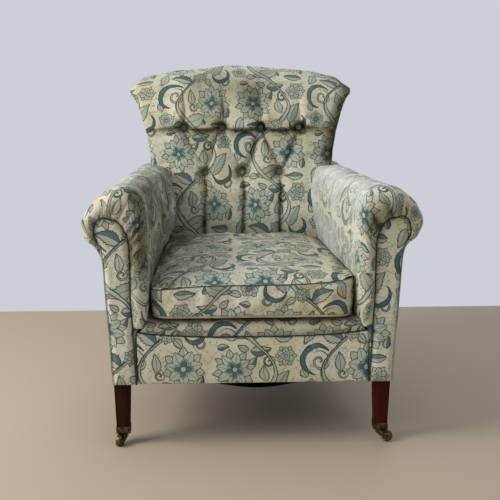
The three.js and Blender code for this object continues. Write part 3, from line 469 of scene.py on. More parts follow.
def aged_metal(name, bright, dark, roughness):
    finish = Finish(name, roughness=roughness, metallic=1.0)
    here = finish.place()
    patina = finish.noise(here, 110.0, 6.0, 0.7)
    scratch = finish.noise(finish.scaled(here, (900.0, 900.0, 90.0)), 1.0, 3.0)
    tone = finish.mix(patina.between(0.36, 0.62), bright, dark)
    finish.feed("Base Color", finish.mix(scratch.between(0.6, 0.8) * 0.4, tone, bright))
    finish.feed("Roughness", patina * 0.4 + roughness)
    finish.feed("Metallic", 1.0 - patina.between(0.5, 0.75) * 0.5)
    finish.relief(patina * 0.7 + scratch * 0.3, 0.0005, 0.5)
    return finish.material


COTTON = bpy.data.materials.new("printed_cotton")
SEAM_DARK = plain_cloth("seam_dark", paint(66, 82, 84), paint(52, 58, 50))
SEAM_SOFT = plain_cloth("seam_soft", paint(92, 102, 92), paint(62, 70, 60))
PIPING_CREAM = plain_cloth("piping_cream", paint(190, 182, 146), paint(110, 104, 76))
BUTTON_CLOTH = plain_cloth("button_cloth", paint(150, 152, 126), paint(92, 108, 98))
BUTTON_PINK = plain_cloth("button_pink", paint(176, 150, 130), paint(128, 108, 90))
LINING = plain_cloth("black_lining", paint(30, 30, 32), paint(16, 16, 17))
JUTE = plain_cloth("jute_web", paint(150, 128, 92), paint(112, 92, 62), 600.0)
# Its red tone is painted light on the right legs
MAHOGANY = polished_wood("mahogany", paint(54, 26, 17), paint(24, 10, 7), 0.40, red=paint(104, 31, 13))
BEECH = polished_wood("bare_beech", paint(190, 156, 112), paint(150, 116, 78), 0.6, (4.0, 50.0, 50.0))
BRASS = aged_metal("tarnished_brass", paint(132, 106, 66), paint(48, 40, 30), 0.32)
STEEL = aged_metal("dull_steel", paint(120, 118, 112), paint(60, 52, 44), 0.4)


# ---------------------------------------------------------------- the chair's own lines
def back_line(z):
    """Depth of the raked inside face of the back at a height."""
    return 0.585 + 0.3 * (np.maximum(z, 0.25) - 0.37) + DEPTH_SHIFT


def spline(points, steps):
    """Points on a smooth curve through the given ones. Steps run from nought to one."""
    points = np.asarray(points, float)
    last = len(points) - 1
    at = np.asarray(steps, float) * last
    index = np.clip(at.astype(int), 0, last - 1)
    f = (at - index).reshape([-1] + [1] * (points.ndim - 1))
    before, start = points[np.maximum(index - 1, 0)], points[index]
    end, after = points[index + 1], points[np.minimum(index + 2, last)]
    square = 2 * before - 5 * start + 4 * end - after
    cube = 3 * start - before - 3 * end + after
    return 0.5 * (2 * start + (end - before) * f + square * f ** 2 + cube * f ** 3)


def soft_step(value):
    value = np.clip(value, 0, 1)
    return value * value * (3 - 2 * value)


def lumps(points, size, seed, waves=9):
    """Gentle unevenness of old stuffing, about -1 to 1, from a few crossed waves."""
    random = np.random.default_rng(seed)
    total = np.zeros(points.shape[:-1])
    for _ in range(waves):
        way = random.normal(size=3)
        way *= 2 * math.pi / (np.linalg.norm(way) * size * random.uniform(0.7, 1.8))
        total += np.sin(points @ way + random.uniform(0, 6.3))
    return total / math.sqrt(waves)


def facing_out(grid, centre):
    """Normals of a grid of points, on the side away from the centre."""
    across = np.gradient(grid, axis=1)
    along = np.gradient(grid, axis=0)
    normal = np.cross(along, across)
    normal /= np.maximum(np.linalg.norm(normal, axis=-1, keepdims=True), 1e-9)
    sense = np.sign(np.sum(normal * (grid - centre)))
    return normal * (sense or 1.0)


def run(points, axis):
    """Length along a grid's lines, from nought, in metres."""
    steps = np.linalg.norm(np.diff(points, axis=axis), axis=-1)
    zero = np.zeros_like(np.take(steps, [0], axis=axis))
    return np.concatenate([zero, np.cumsum(steps, axis=axis)], axis=axis)


def sewn(name, panels, close=True):
    """One mesh from grids of points, each with its own place on the cloth, joined where they meet."""
    verts, faces, spots, grimes_and_shades = [], [], [], []
    for points, cloth, *grime_and_shade in panels:
        grimes_and_shades.append(grime_and_shade[0].reshape(-1) if grime_and_shade else np.zeros(points.shape[0] * points.shape[1]))
        rows, columns = points.shape[:2]
        start = len(verts)
        verts.extend(points.reshape(-1, 3).tolist())
        flat = cloth.reshape(-1, 2)
        index = np.arange(rows * columns).reshape(rows, columns)
        quads = np.stack([index[:-1, :-1], index[:-1, 1:], index[1:, 1:], index[1:, :-1]], -1)
        quads = quads.reshape(-1, 4)
        faces.extend((quads + start).tolist())
        spots.append(flat[quads.reshape(-1)])
    mesh = bpy.data.meshes.new(name)
    mesh.from_pydata(verts, [], faces)
    layer = mesh.uv_layers.new(name="cloth")
    layer.data.foreach_set("uv", np.concatenate(spots).astype(np.float32).ravel())
    # Per-point soil, fading, painted light and painted shade for the cotton
    dirt_and_shade_layer = mesh.attributes.new("grime_and_shade", "FLOAT", "POINT")
    dirt_and_shade_layer.data.foreach_set("value", np.concatenate(grimes_and_shades).astype(np.float32))
    piece = linked(name, mesh)
    merge(piece, close)
    bpy.ops.object.shade_smooth()
    return piece


def cap(ring, axis, shift=0.0):
    """A panel across a ring of points, which pairs those from its start with those from its end."""
    half = len(ring) // 2
    pair = np.stack([ring[:half], ring[::-1][:half]], 1)
    return pair, np.stack([pair[..., axis] + shift, pair[..., 2]], -1)


def foot(first, last):
    """A panel between two lines of points at the bottom of a piece."""
    pair = np.stack([first, last], 1)
    return pair, pair[..., :2]


def quilted(name, front, rear, cloth):
    """A thin piece from its front and its rear face, closed round the edges."""
    panels = [(front, cloth), (rear, cloth)]
    whole = slice(None)
    for edge in ((whole, 0), (whole, -1), (0, whole), (-1, whole)):
        panels.append((np.stack([front[edge], rear[edge]], 1), np.stack([cloth[edge]] * 2, 1)))
    return sewn(name, panels)


def choose(piece):
    bpy.ops.object.select_all(action="DESELECT")
    piece.select_set(True)
    bpy.context.view_layer.objects.active = piece


def merge(piece, close=True, flatten=False):
    """Joins the points of a piece that lie on one another."""
    choose(piece)
    bpy.ops.object.mode_set(mode="EDIT")
    bpy.ops.mesh.select_all(action="SELECT")
    bpy.ops.mesh.remove_doubles(threshold=0.00002)
    if flatten:
        bpy.ops.mesh.dissolve_limited(angle_limit=math.radians(1))
    if close:
        bpy.ops.mesh.normals_make_consistent(inside=False)
    bpy.ops.object.mode_set(mode="OBJECT")


def apply(piece, kind, **settings):
    """Adds a modifier with these settings, and applies it."""
    choose(piece)
    modifier = piece.modifiers.new(kind.lower(), kind)
    for key, value in settings.items():
        setattr(modifier, key, value)
    bpy.ops.object.modifier_apply(modifier=modifier.name)


def bevel(piece, width, segments, degrees):
    """Rounds the edges of a piece that turn by more than this."""
    apply(
        piece, "BEVEL", width=width, segments=segments, limit_method="ANGLE",
        angle_limit=math.radians(degrees))


def dress(piece, material, body="chair", replaced=()):
    piece.data.materials.clear()
    piece.data.materials.append(material)
    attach(piece, body)
    if replaced:
        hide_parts(*replaced)
    return piece


def upholster(piece, node):
    """Dresses a padded piece in the printed cotton."""
    return dress(piece, COTTON, replaced=[node])


def copy_of(node, name):
    """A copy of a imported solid, its loose triangles joined."""
    piece = linked(name, frame["nodes"][node].data.copy())
    merge(piece, flatten=True)
    return piece


def hollow(piece, tool):
    apply(piece, "BOOLEAN", operation="DIFFERENCE", object=tool, solver="MANIFOLD")
    bpy.data.objects.remove(tool)


def solid(name, rings):
    """A closed solid through rings of points, to cut a hollow with."""
    mesh = bmesh.new()
    rings = [[mesh.verts.new(point) for point in ring] for ring in rings]
    for low, high in zip(rings, rings[1:]):
        for i in range(len(low)):
            mesh.faces.new((low[i - 1], low[i], high[i], high[i - 1]))
    mesh.faces.new(rings[0])
    mesh.faces.new(rings[-1])
    bmesh.ops.recalc_face_normals(mesh, faces=mesh.faces)
    data = bpy.data.meshes.new(name)
    mesh.to_mesh(data)
    mesh.free()
    return linked(name, data)


def piping(name, points, radius, material, closed=False):
    """A covered cord sewn along a seam."""
    bpy.ops.object.select_all(action="DESELECT")
    bpy.ops.curve.primitive_nurbs_path_add(location=(0, 0, 0))
    piece = bpy.context.object
    piece.name = name
    curve = piece.data
    curve.splines.clear()
    line = curve.splines.new("POLY")
    line.points.add(len(points) - 1)
    for knot, place in zip(line.points, points):
        knot.co = (*place, 1.0)
    line.use_cyclic_u = closed
    curve.bevel_depth = radius
    curve.bevel_resolution = 2
    curve.use_fill_caps = not closed
    bpy.ops.object.convert(target="MESH")
    bpy.ops.object.shade_smooth()
    piece = bpy.context.object
    return dress(piece, material)


# ---------------------------------------------------------------- arms
FRONT_HALF, REAR_HALF = 0.315, 0.248
ARM_HEIGHT, ARM_DROP = 0.603, 0.033
PLATFORM_BOTTOM, PLATFORM_TOP = 0.262, 0.302
CLOTH_BOTTOM = 0.150
PANEL_REAR = 0.1178
# The room of the seat frame: its depths behind the arms' front, its half widths and its top
FRAME_FRONT, FRAME_CORNER, FRAME_REAR = 0.0135, 0.0533, 0.6187
FRAME_HALF, FRAME_REAR_HALF, POST_HALF, FRAME_TOP = 0.3155, 0.2455, 0.2485, 0.2465
ARM_START = 0.008 + DEPTH_SHIFT
FACING_BACK = -0.004 + DEPTH_SHIFT


def arm_outline(half, crest, foot, seat, wall, shoulder, top, out, roll):
    low = foot * 0.4 + seat * 0.6
    return np.array([
        (half - foot, CLOTH_BOTTOM),
        (half - foot, PLATFORM_BOTTOM + 0.006),
        (half - low, PLATFORM_BOTTOM + 0.022),
        (half - seat, PLATFORM_TOP + 0.018),
        (half - wall, 0.430),
        (half - shoulder, crest - 0.093 * roll),
        (half - shoulder + 0.004, crest - 0.043 * roll),
        (half - shoulder + 0.022 * roll, crest - 0.009 * roll),
        (half - top, crest),
        (half - top + 0.037 * roll, crest - 0.011 * roll),
        (half + 0.047 * roll + out, crest - 0.037 * roll),
        (half + 0.067 * roll + out, crest - 0.076 * roll),
        (half + 0.057 * roll + out, crest - 0.113 * roll),
        (half + 0.033 * roll + out, crest - 0.135 * roll),
        (half + 0.021, crest - 0.173 * roll),
        (half + 0.016, 0.350),
        (half + 0.010, 0.250),
        (half + 0.005, CLOTH_BOTTOM),
    ])


ARM_FRONT = arm_outline(FRONT_HALF, ARM_HEIGHT, 0.051, 0.078, 0.080, 0.082, 0.022, 0, 1)
ARM_REAR = arm_outline(
    REAR_HALF, ARM_HEIGHT - ARM_DROP, 0.024, 0.042, 0.050, 0.058, -0.008, 0.008, 0.75)
FACING_SEAM = np.array([(FRONT_HALF + dx, z) for dx, z in (
    (-0.049, CLOTH_BOTTOM + 0.003),
    (-0.044, PLATFORM_BOTTOM),
    (-0.043, PLATFORM_BOTTOM + 0.038),
    (-0.040, 0.350),
    (-0.040, 0.410),
    (-0.039, ARM_HEIGHT - 0.138),
    (-0.035, ARM_HEIGHT - 0.107),
    (-0.018, ARM_HEIGHT - 0.077),
    (0.005, ARM_HEIGHT - 0.067),
    (0.019, ARM_HEIGHT - 0.065),
    (0.033, ARM_HEIGHT - 0.075),
    (0.038, ARM_HEIGHT - 0.100),
    (0.032, ARM_HEIGHT - 0.117),
    (0.024, ARM_HEIGHT - 0.134),
    (0.019, ARM_HEIGHT - 0.175),
    (0.015, 0.350),
    (0.009, 0.250),
    (0.004, CLOTH_BOTTOM + 0.003),
)])
# The back's half width at a height
BACK_WIDTH = np.array([
    (0.260, 0.2470), (0.480, 0.2470), (0.520, 0.2510), (0.564, 0.2544), (0.615, 0.2590),
    (0.674, 0.2712), (0.710, 0.2820), (0.742, 0.2925), (0.756, 0.2995), (0.766, 0.3050),
    (0.776, 0.3125), (0.790, 0.3160),
])


def arm_rear(z):
    return back_line(z) + PANEL_REAR


def arm_face(y, z):
    """Half width between the arms' inside faces at a depth and a height by the seat."""
    t = (y - ARM_START) / (arm_rear(z) - ARM_START)
    return np.interp(z, *ARM_FRONT[:5, ::-1].T) * (1 - t) + np.interp(z, *ARM_REAR[:5, ::-1].T) * t


def arm_inner(y, number):
    """Half width of the seat between the arms at a depth."""
    t = (y - ARM_START) / (arm_rear(ARM_FRONT[number][1]) - ARM_START)
    return ARM_FRONT[number][0] * (1 - t) + ARM_REAR[number][0] * t


def arm_grid(side):
    """Rows of points over a padded arm, from the facing's seam back to the rear edge."""
    columns = np.linspace(0, 1, 230)
    front, seam, rear = (spline(line, columns) for line in (ARM_FRONT, FACING_SEAM, ARM_REAR))
    start = FACING_BACK + 0.0003
    fullness = np.clip(np.linalg.norm(front - seam, axis=1) / 0.062, 0, 1)
    # Share of the way to the seam, bulge over the front, and depth between the seam and the arm
    rounds = [
        (1, 0, 0), (0.93, 0.4, 0.1), (0.78, 0.8, 0.22), (0.55, 1, 0.38), (0.3, 0.86, 0.55),
        (0.1, 0.4, 0.78),
    ]
    rows = []
    for towards, bulge, depth in rounds:
        place = front * (1 - towards) + seam * towards
        flat = start + (ARM_START - start) * depth
        full = start + (ARM_START - start) * max(0.0, 3 * depth - 2) - bulge * 0.027
        rows.append(np.stack([place[:, 0], flat + (full - flat) * fullness, place[:, 1]], -1))
    for t in (0, 0.04, 0.1, 0.2, 0.32, 0.45, 0.6, 0.75, 0.88, 1):
        place = front * (1 - t) + rear * t
        depth = ARM_START + (arm_rear(place[:, 1]) - ARM_START) * t
        rows.append(np.stack([place[:, 0], depth, place[:, 1]], -1))
    rows = np.array(rows)
    last = len(rows) - 1
    dense = np.concatenate([np.linspace(0, 6, 44)[:-1], np.linspace(6, last, 76)]) / last
    grid = spline(rows, dense)

    # Soft unevenness, gathers over the front of the scroll, and slack folds down by the seat
    around = run(grid[60:61], 1)[0]
    back_run = run(grid, 0)
    centre = np.array([0.30, 0.0, 0.30])
    out = facing_out(grid, centre)
    ends = soft_step(back_run / 0.02) * soft_step((columns * (1 - columns) * 30))[None, :]
    height = grid[..., 2]
    amount = lumps(grid, 0.16, 11 + side) * 0.0028 + lumps(grid, 0.06, 21 + side) * 0.0010
    gather = np.abs(np.sin(around * 105 + 1.5 * np.sin(around * 31 + side)))[None, :] ** 0.7
    near = np.exp(-((back_run - 0.034) / 0.024) ** 2) * fullness[None, :] ** 2
    amount = amount * ends - (1 - gather) * near * 0.0058
    slack = np.sin(grid[..., 1] * 38 + grid[..., 2] * 24 + side * 2) * 0.0012
    amount += slack * ends * (columns < 0.4)[None, :] * (height > 0.33)
    # Next to the frame, the other pieces and the room for them the padding stays even
    outside = (columns > 0.6)[None, :] & (height < 0.37)
    amount = np.where(outside, np.clip(amount, -0.0012, 0.0015), amount)
    amount = np.where(height < 0.31, np.clip(amount, -0.0012, 0.0005), amount)
    amount = np.where((columns < 0.45)[None, :] & (height < 0.46), np.minimum(amount, 0.001), amount)

    # The stuffing has slumped towards the back, low on the inside face, most of all on the left
    slump = (0.020 if side < 0 else 0.003) * soft_step((0.50 - columns) / 0.10)[None, :]
    slump = slump * np.exp(-((height - 0.440) / 0.065) ** 2) * soft_step((grid[..., 1] + 0.20) / 0.24)
    amount = amount + slump * soft_step((height - 0.388) / 0.018)
    grid = grid + out * amount[..., None]
    grid[..., 0] *= side

    # The fronts of the scrolls are darkened as handling soil and as painted shade under the roll's
    # lip; the creases of the gathers and the seam by the facing get painted shade, and the left arm's
    # inside painted shade with some soil
    scroll_top = soft_step((height - 0.47) / 0.06)
    front = np.exp(-((back_run - 0.045) / 0.035) ** 2) * fullness[None, :] * scroll_top
    inner = soft_step((0.52 - columns) / 0.12)[None, :] * soft_step((height - 0.32) / 0.05)
    grime_and_shade = front * (0.55 if side > 0 else 0.22) + near * (1 - gather) * 0.7 * scroll_top
    grime_and_shade += (0 if side > 0 else 0.62) * inner + 0.6 * np.exp(-(back_run / 0.012) ** 2)
    # Painted light with some real fading: the crests, most of all the left one, and the right arm's
    # inside are paled
    crest = np.exp(-((columns - 0.47) / 0.14) ** 2)[None, :] * soft_step((back_run - 0.07) / 0.08)
    crest_fade_and_light, inner_fade_and_light = (0.10, 0.42) if side > 0 else (0.42, 0.0)
    faded_and_lit = crest * crest_fade_and_light + inner * inner_fade_and_light * soft_step((back_run - 0.06) / 0.06)
    rub = np.clip(0.85 + 0.5 * lumps(grid, 0.10, 61 + side), 0.3, 1.3)
    return grid, np.clip(grime_and_shade * rub, 0, 1) - np.clip(faded_and_lit * rub, 0, 0.7) * (grime_and_shade < 0.3)


def arm(side, name):
    grid, grime_and_shade = arm_grid(side)
    round_arm = run(grid[50:51], 1).repeat(len(grid), 0)
    cloth = np.stack([round_arm + 0.05, run(grid, 0) + 0.13 * side], -1)
    panels = [(grid, cloth, grime_and_shade)] + [cap(grid[end], 0, 0.4) for end in (0, -1)]
    panels.append(foot(grid[:, 0], grid[:, -1]))
    piece = sewn("arm_" + name, panels)
    # Room for the frame's rails and blocks, for the back with its post, and for the arm's own wood
    frame_line = [
        (0.0, FRAME_FRONT), (FRAME_HALF, FRAME_FRONT), (FRAME_HALF, FRAME_CORNER),
        (FRAME_REAR_HALF, FRAME_REAR), (POST_HALF, FRAME_REAR), (POST_HALF, 1.2), (0.0, 1.2),
    ]
    hollow(piece, solid("frame_hollow", [
        [(side * x, y + DEPTH_SHIFT, z) for x, y in frame_line] for z in (-0.01, FRAME_TOP)]))
    hollow(piece, back_room(side))
    for node in ("arm_stump_", "arm_top_rail_"):
        tool = copy_of(node + name, "tool")
        apply(tool, "DISPLACE", strength=0.0006, mid_level=0.0)
        hollow(piece, tool)
    return upholster(piece, "arm_upholstery_" + name)


def back_room(side):
    """The room that the back and its post take out of an arm."""
    rings = []
    for z in (0.0, 0.26, 0.48, 0.52, 0.562, 0.604):
        x = side * (max(float(np.interp(z, *BACK_WIDTH.T)), REAR_HALF) + 0.001)
        y = float(back_line(z)) - 0.0005
        rings.append([(0, y, z), (x, y, z), (x, 0.9, z), (0, 0.9, z)])
    return solid("back_room", rings)


def facing(side, name):
    """Thinly padded panel inside the seam at the front of an arm."""
    seam = spline(FACING_SEAM, np.linspace(0, 1, 160))
    tangent = np.gradient(seam, axis=0)
    tangent /= np.linalg.norm(tangent, axis=1, keepdims=True)
    inward = np.stack([tangent[:, 1], -tangent[:, 0]], -1)
    edge = seam + inward * 0.0012
    half = len(edge) // 2
    across = np.linspace(0, 1, 15)
    left, right = edge[:half], edge[::-1][:half]
    flat = left[:, None] * (1 - across)[None, :, None] + right[:, None] * across[None, :, None]
    width = np.linalg.norm(right - left, axis=1)[:, None]
    rim = np.minimum(across, 1 - across)[None, :] * width
    top = (half - 1 - np.arange(half))[:, None] * 0.006
    low = np.arange(half)[:, None] * 0.006
    rise = 0.0062 * soft_step(np.minimum(np.minimum(rim, top), low + 0.002) / 0.012)
    depth = FACING_BACK - 0.0012 - rise
    grid = np.stack([side * flat[..., 0], depth, flat[..., 1]], -1)
    grid[..., 1] += lumps(grid, 0.09, 31 + side) * 0.0007 * (rise / 0.0062)
    cloth = np.stack([flat[..., 0] * side + 0.55 + 0.17 * side, flat[..., 1] + 0.075 * side], -1)
    rear = grid.copy()
    rear[..., 1] = FACING_BACK - 0.0002
    piece = quilted("facing_" + name, grid, rear, cloth)
    upholster(piece, "arm_facing_" + name)
    # The piping has stayed dark from the foot over the scroll, and has paled down the outside
    line = [(side * x, FACING_BACK - 0.0026, z) for x, z in seam - inward * 0.0002]
    scroll_end = 114
    piping("facing_piping_" + name, line[:scroll_end + 1], 0.0013, SEAM_DARK)
    piping("facing_edge_" + name, line[scroll_end:], 0.0011, PIPING_CREAM)


# ---------------------------------------------------------------- inside of the back
BACK_TOP, BACK_FOOT = 0.842, 0.262
FRONT_TOP, PANEL_TOP = 0.705, 0.744
BACK_HALF, FLAT_HALF = 0.247, 0.190
# The middle of the top roll, as a depth behind the face and a height
ROLL_DEPTH, ROLL_Z = 0.095, 0.782
UPPER_Z, LOWER_Z = 0.675, 0.553
UPPER_X = (-0.163, -0.055, 0.055, 0.163)
LOWER_X = (-0.104, 0.0, 0.104)
BUTTON_RADIUS = 0.0085
BUTTONS = [(x, UPPER_Z) for x in UPPER_X] + [(x, LOWER_Z) for x in LOWER_X]
# Both ends of each fold and its depth: pleats over the top, diagonals between the buttons, and
# gullies down to the seat
FOLDS = [(x, UPPER_Z, x * 1.04, BACK_TOP + 0.04, -0.0050) for x in UPPER_X]
FOLDS += [
    (x, UPPER_Z, low, LOWER_Z, 0.0075) for x in UPPER_X for low in LOWER_X if abs(low - x) < 0.08]
FOLDS += [(x, LOWER_Z, x, 0.37, 0.0120) for x in LOWER_X]
# Heights of the rows up the front, closer together where the top roll hangs over
FRONT_Z = np.concatenate([
    np.linspace(BACK_FOOT, 0.640, 92)[:-1], np.linspace(0.640, FRONT_TOP, 39)])
# Over the top roll: height below the top, depth behind the front, and rise in the middle
TOP_ROLL = np.array([
    (0.122, 0, 0), (0.097, 0.004, 0.004), (0.074, 0.011, 0.008), (0.052, 0.021, 0.014),
    (0.032, 0.036, 0.021), (0.016, 0.054, 0.028), (0.005, 0.074, 0.032), (0, 0.095, 0.034),
    (0.004, 0.118, 0.034), (0.016, 0.137, 0.030), (0.034, 0.148, 0.024), (0.054, 0.151, 0.016),
    (0.074, 0.146, 0.009), (0.090, 0.132, 0.004),
])


def drawn_in(x, height):
    """How far the buttoned face sinks at a place: dimples, folds between them and the crown."""
    rise = soft_step((height - 0.39) / 0.09) * soft_step((BACK_TOP + 0.06 - height) / 0.16)
    crown_half = np.where(height < ARM_HEIGHT, 0.186, 0.215)
    crown = 0.010 * rise * (1 - np.minimum(1, np.abs(x) / crown_half) ** 4)

    # The top roll hangs over a tuck that joins the upper buttons and runs out to both sides
    step = UPPER_X[1] - UPPER_X[0]
    inner = np.abs(x) < UPPER_X[-1]
    swag = 0.008 * np.abs(np.sin(math.pi * (x - UPPER_X[0]) / step))
    droop = np.where(inner, swag, 0.11 * (np.abs(x) - UPPER_X[-1]))
    over = height - (UPPER_Z + 0.001 - droop)
    side = 1 - 0.75 * soft_step((np.abs(x) - 0.17) / 0.08)
    above = soft_step((over + 0.001) / 0.011) * (1 - soft_step((over - 0.026) / 0.100))
    crown = crown + side * 0.017 * above
    crown = crown + side * 0.005 * soft_step(-over / 0.022) * (1 - soft_step((-over - 0.030) / 0.060))
    crown = crown + 0.005 * np.exp(-((height - 0.47) / 0.06) ** 2) * (1 - soft_step(np.abs(x) / 0.19))
    tuck = side * 0.013 * np.exp(-np.abs(over) / np.where(over > 0, 0.005, 0.013))
    pit = np.zeros_like(x)

    for bx, bz in BUTTONS:
        dx, dz = x - bx, height - bz
        away = np.hypot(dx, dz)
        beyond = np.maximum(0, away - 0.0090)
        ripple = np.sin(np.arctan2(dz, dx) * 9 + bx * 40)
        spokes = 0.0016 * ripple * np.exp(-((away - 0.026) / 0.014) ** 2)
        pit = np.maximum(pit, (0.026 + crown) * np.exp(-(beyond / 0.0105) ** 1.3)) + spokes
    for x0, z0, x1, z1, deep in FOLDS:
        dx, dz = x1 - x0, z1 - z0
        length = math.hypot(dx, dz)
        share = ((x - x0) * dx + (height - z0) * dz) / length ** 2
        beside = ((x - x0) * dz - (height - z0) * dx) / length
        past = np.maximum(0, np.maximum(-share, share - 1)) * length
        sway = 0.0024 * np.sin(share * 6 + x0 * 60)
        beside = beside + sway * (past == 0)
        slant = np.where(beside * (1 if x0 + x1 >= 0 else -1) > 0, 0.0045, 0.020)
        fold = (deep + crown) * np.exp(-np.abs(beside) / slant) * np.exp(-(past / 0.012) ** 2)
        tuck = np.maximum(tuck, fold)
    shade = np.exp(-(np.maximum(over, 0) / 0.009) ** 2) * np.exp(-np.maximum(-over, 0) / 0.016)
    shade = np.maximum(0.80 * side * shade, 0.85 * soft_step((tuck - crown - 0.001) / 0.014))
    return np.maximum(tuck, pit) - crown, np.maximum(shade, 0.30 * soft_step(pit / 0.02))


def back_grid():
    lines = np.linspace(-1, 1, 211)
    lines = np.sign(lines) * np.abs(lines) ** 0.92 * BACK_HALF
    roll_z = BACK_TOP - TOP_ROLL[:, 0]
    profile = np.array([(FRONT_TOP, 0, 0)] + [(z, d, a) for z, (_, d, a) in zip(roll_z, TOP_ROLL)])
    roll = spline(profile, np.linspace(0, 1, 92))[1:]
    # Rows of height, depth behind the face and rise in the middle, and their length up the cloth
    rows = np.concatenate([np.stack([FRONT_Z, 0 * FRONT_Z, 0 * FRONT_Z], -1), roll])
    steps = np.hypot(*np.diff(rows[:, :2], axis=0).T)
    height = np.concatenate([[BACK_FOOT], BACK_FOOT + np.cumsum(steps)])
    # The stuffing sinks straight back low down, and towards the middle of the roll at the top
    inward = np.stack([ROLL_DEPTH - rows[:, 1], ROLL_Z - rows[:, 0]], -1)
    inward /= np.linalg.norm(inward, axis=1, keepdims=True)
    turning = soft_step((rows[:, 0] - 0.735) / 0.05)[:, None]
    turning = np.where((rows[:, 1] > 0.05)[:, None], 1.0, turning)
    inward = inward * turning + np.array((1.0, 0.0)) * (1 - turning)

    z_row, depth_row, arch_row = (rows[:, i:i + 1] for i in range(3))
    half = np.interp(z_row, *BACK_WIDTH.T) - np.maximum(0, arch_row - 0.020) * 1.6
    out = np.maximum(0, np.abs(lines)[None, :] - FLAT_HALF) / (BACK_HALF - FLAT_HALF)
    x = np.minimum(np.abs(lines)[None, :], FLAT_HALF) + out * (half - FLAT_HALF)
    rounding = 0.013 * np.maximum(0, (out - 0.8) / 0.2) ** 2.5 * np.where(z_row < 0.542, 0.15, 1)
    signed = np.sign(lines)[None, :] * x
    pulled, shade = drawn_in(signed, height[:, None] + 0 * signed)
    sink = rounding + pulled
    z = z_row - arch_row * (x / half) ** 2.2 + inward[:, 1:] * sink
    depth = depth_row + inward[:, :1] * sink
    grid = np.stack([signed, back_line(z) + depth, z], -1)
    out_way = facing_out(grid, np.array([0.0, 0.35, 0.5]))
    inner = soft_step((0.24 - np.abs(signed)) / 0.03) * soft_step((height[:, None] - 0.30) / 0.05)
    uneven = lumps(grid, 0.12, 5) * 0.0020 + lumps(grid, 0.045, 6) * 0.0008
    grid = grid + out_way * (uneven * inner)[..., None]
    cloth = np.stack([signed + 0.012, height[:, None] + 0.02 + 0 * signed], -1)
    # Heads have soiled the top; the back is darker low down by the seat, and painted shade lies in the
    # tuck, folds and dimples, down the right ear's edge and over the left foot of the back
    rub = 0.85 + 0.25 * lumps(grid, 0.08, 71)
    up = height[:, None]
    worn = np.exp(-((up - 0.785) / 0.085) ** 2) * soft_step((0.19 - np.abs(signed + 0.03)) / 0.13)
    grime_and_shade = shade + 0.35 * soft_step((0.46 - up) / 0.10) + 0.10
    grime_and_shade = grime_and_shade + 0.85 * soft_step((signed - half + 0.055) / 0.045) * soft_step((up - 0.50) / 0.10)
    grime_and_shade = grime_and_shade + 0.40 * soft_step((-signed - 0.11) / 0.08) * soft_step((0.57 - up) / 0.14)
    grime_and_shade = np.maximum(grime_and_shade, 0.66 * worn * rub)
    return grid, cloth, grime_and_shade


def inside_back():
    grid, cloth, grime_and_shade = back_grid()
    last_z = float(grid[-1, 105, 2])
    # As many rows as the front has, and spaced like them, so that the side walls run level
    rear_z = np.interp(FRONT_Z[::-1], (BACK_FOOT, FRONT_TOP), (BACK_FOOT, last_z - 0.006))
    rear = []
    for z in rear_z:
        y = float(back_line(z)) + 0.113
        width = float(np.interp(z, *BACK_WIDTH.T))
        half = max(min(BACK_HALF, width), width - 0.006)
        wide = grid[-1, :, 0] / np.abs(grid[-1, :, 0]).max() * half
        rear.append(np.stack([wide, np.full(len(wide), y), np.full(len(wide), z)], -1))
    rear = np.array(rear)
    whole = np.concatenate([grid, rear])
    across = cloth[-1, :, 0][None, :].repeat(len(rear), 0)
    cloth = np.concatenate([cloth, np.stack([across, 1.2 + (last_z - rear[..., 2])], -1)])
    panels = [(whole, cloth, np.concatenate([grime_and_shade, np.zeros(rear.shape[:2])]))]
    panels += [cap(whole[:, edge], 1, 0.3) for edge in (0, -1)] + [foot(whole[0], whole[-1])]
    piece = sewn("buttoned_back", panels)

    # Room for the frame, from heights and depths behind the face
    pocket_line = [
        (0.25, 0.0697), (0.25, 0.133), (PANEL_TOP, 0.133), (PANEL_TOP, 0.1133), (0.7858, 0.1133),
        (0.7858, 0.0697),
    ]
    hollow(piece, solid("frame_pocket", [
        [(x, float(back_line(z)) + depth, z) for z, depth in pocket_line]
        for x in (-POST_HALF, POST_HALF)]))
    return upholster(piece, "inside_back")


def back_buttons():
    """Covered buttons with a turned rim, sunk in their dimples."""
    lean = math.atan(0.3)
    for number, (x, z) in enumerate(BUTTONS, 1):
        bpy.ops.object.select_all(action="DESELECT")
        bpy.ops.mesh.primitive_uv_sphere_add(
            segments=28, ring_count=16, radius=BUTTON_RADIUS, location=(0, 0, 0))
        piece = bpy.context.object
        piece.name = f"covered_button_{number}"
        bpy.ops.object.mode_set(mode="EDIT")
        bpy.ops.transform.resize(value=(1, 1, 0.42))
        bpy.ops.transform.translate(value=(0, 0, 0.0036))
        bpy.ops.object.mode_set(mode="OBJECT")
        for vertex in piece.data.vertices:
            turn = math.atan2(vertex.co.y, vertex.co.x)
            rim = math.hypot(vertex.co.x, vertex.co.y) / BUTTON_RADIUS
            vertex.co.z -= 0.0004 * math.sin(turn * 12) * rim ** 3
        piece.rotation_euler = (math.pi / 2 - lean, 0, 0)
        piece.location = (x, float(back_line(z)) + 0.0237, z)
        bpy.ops.object.transform_apply(location=True, rotation=True, scale=True)
        bpy.ops.object.shade_smooth()
        material = BUTTON_PINK if number == 6 else BUTTON_CLOTH
        dress(piece, material, replaced=[f"back_button_{number}"])


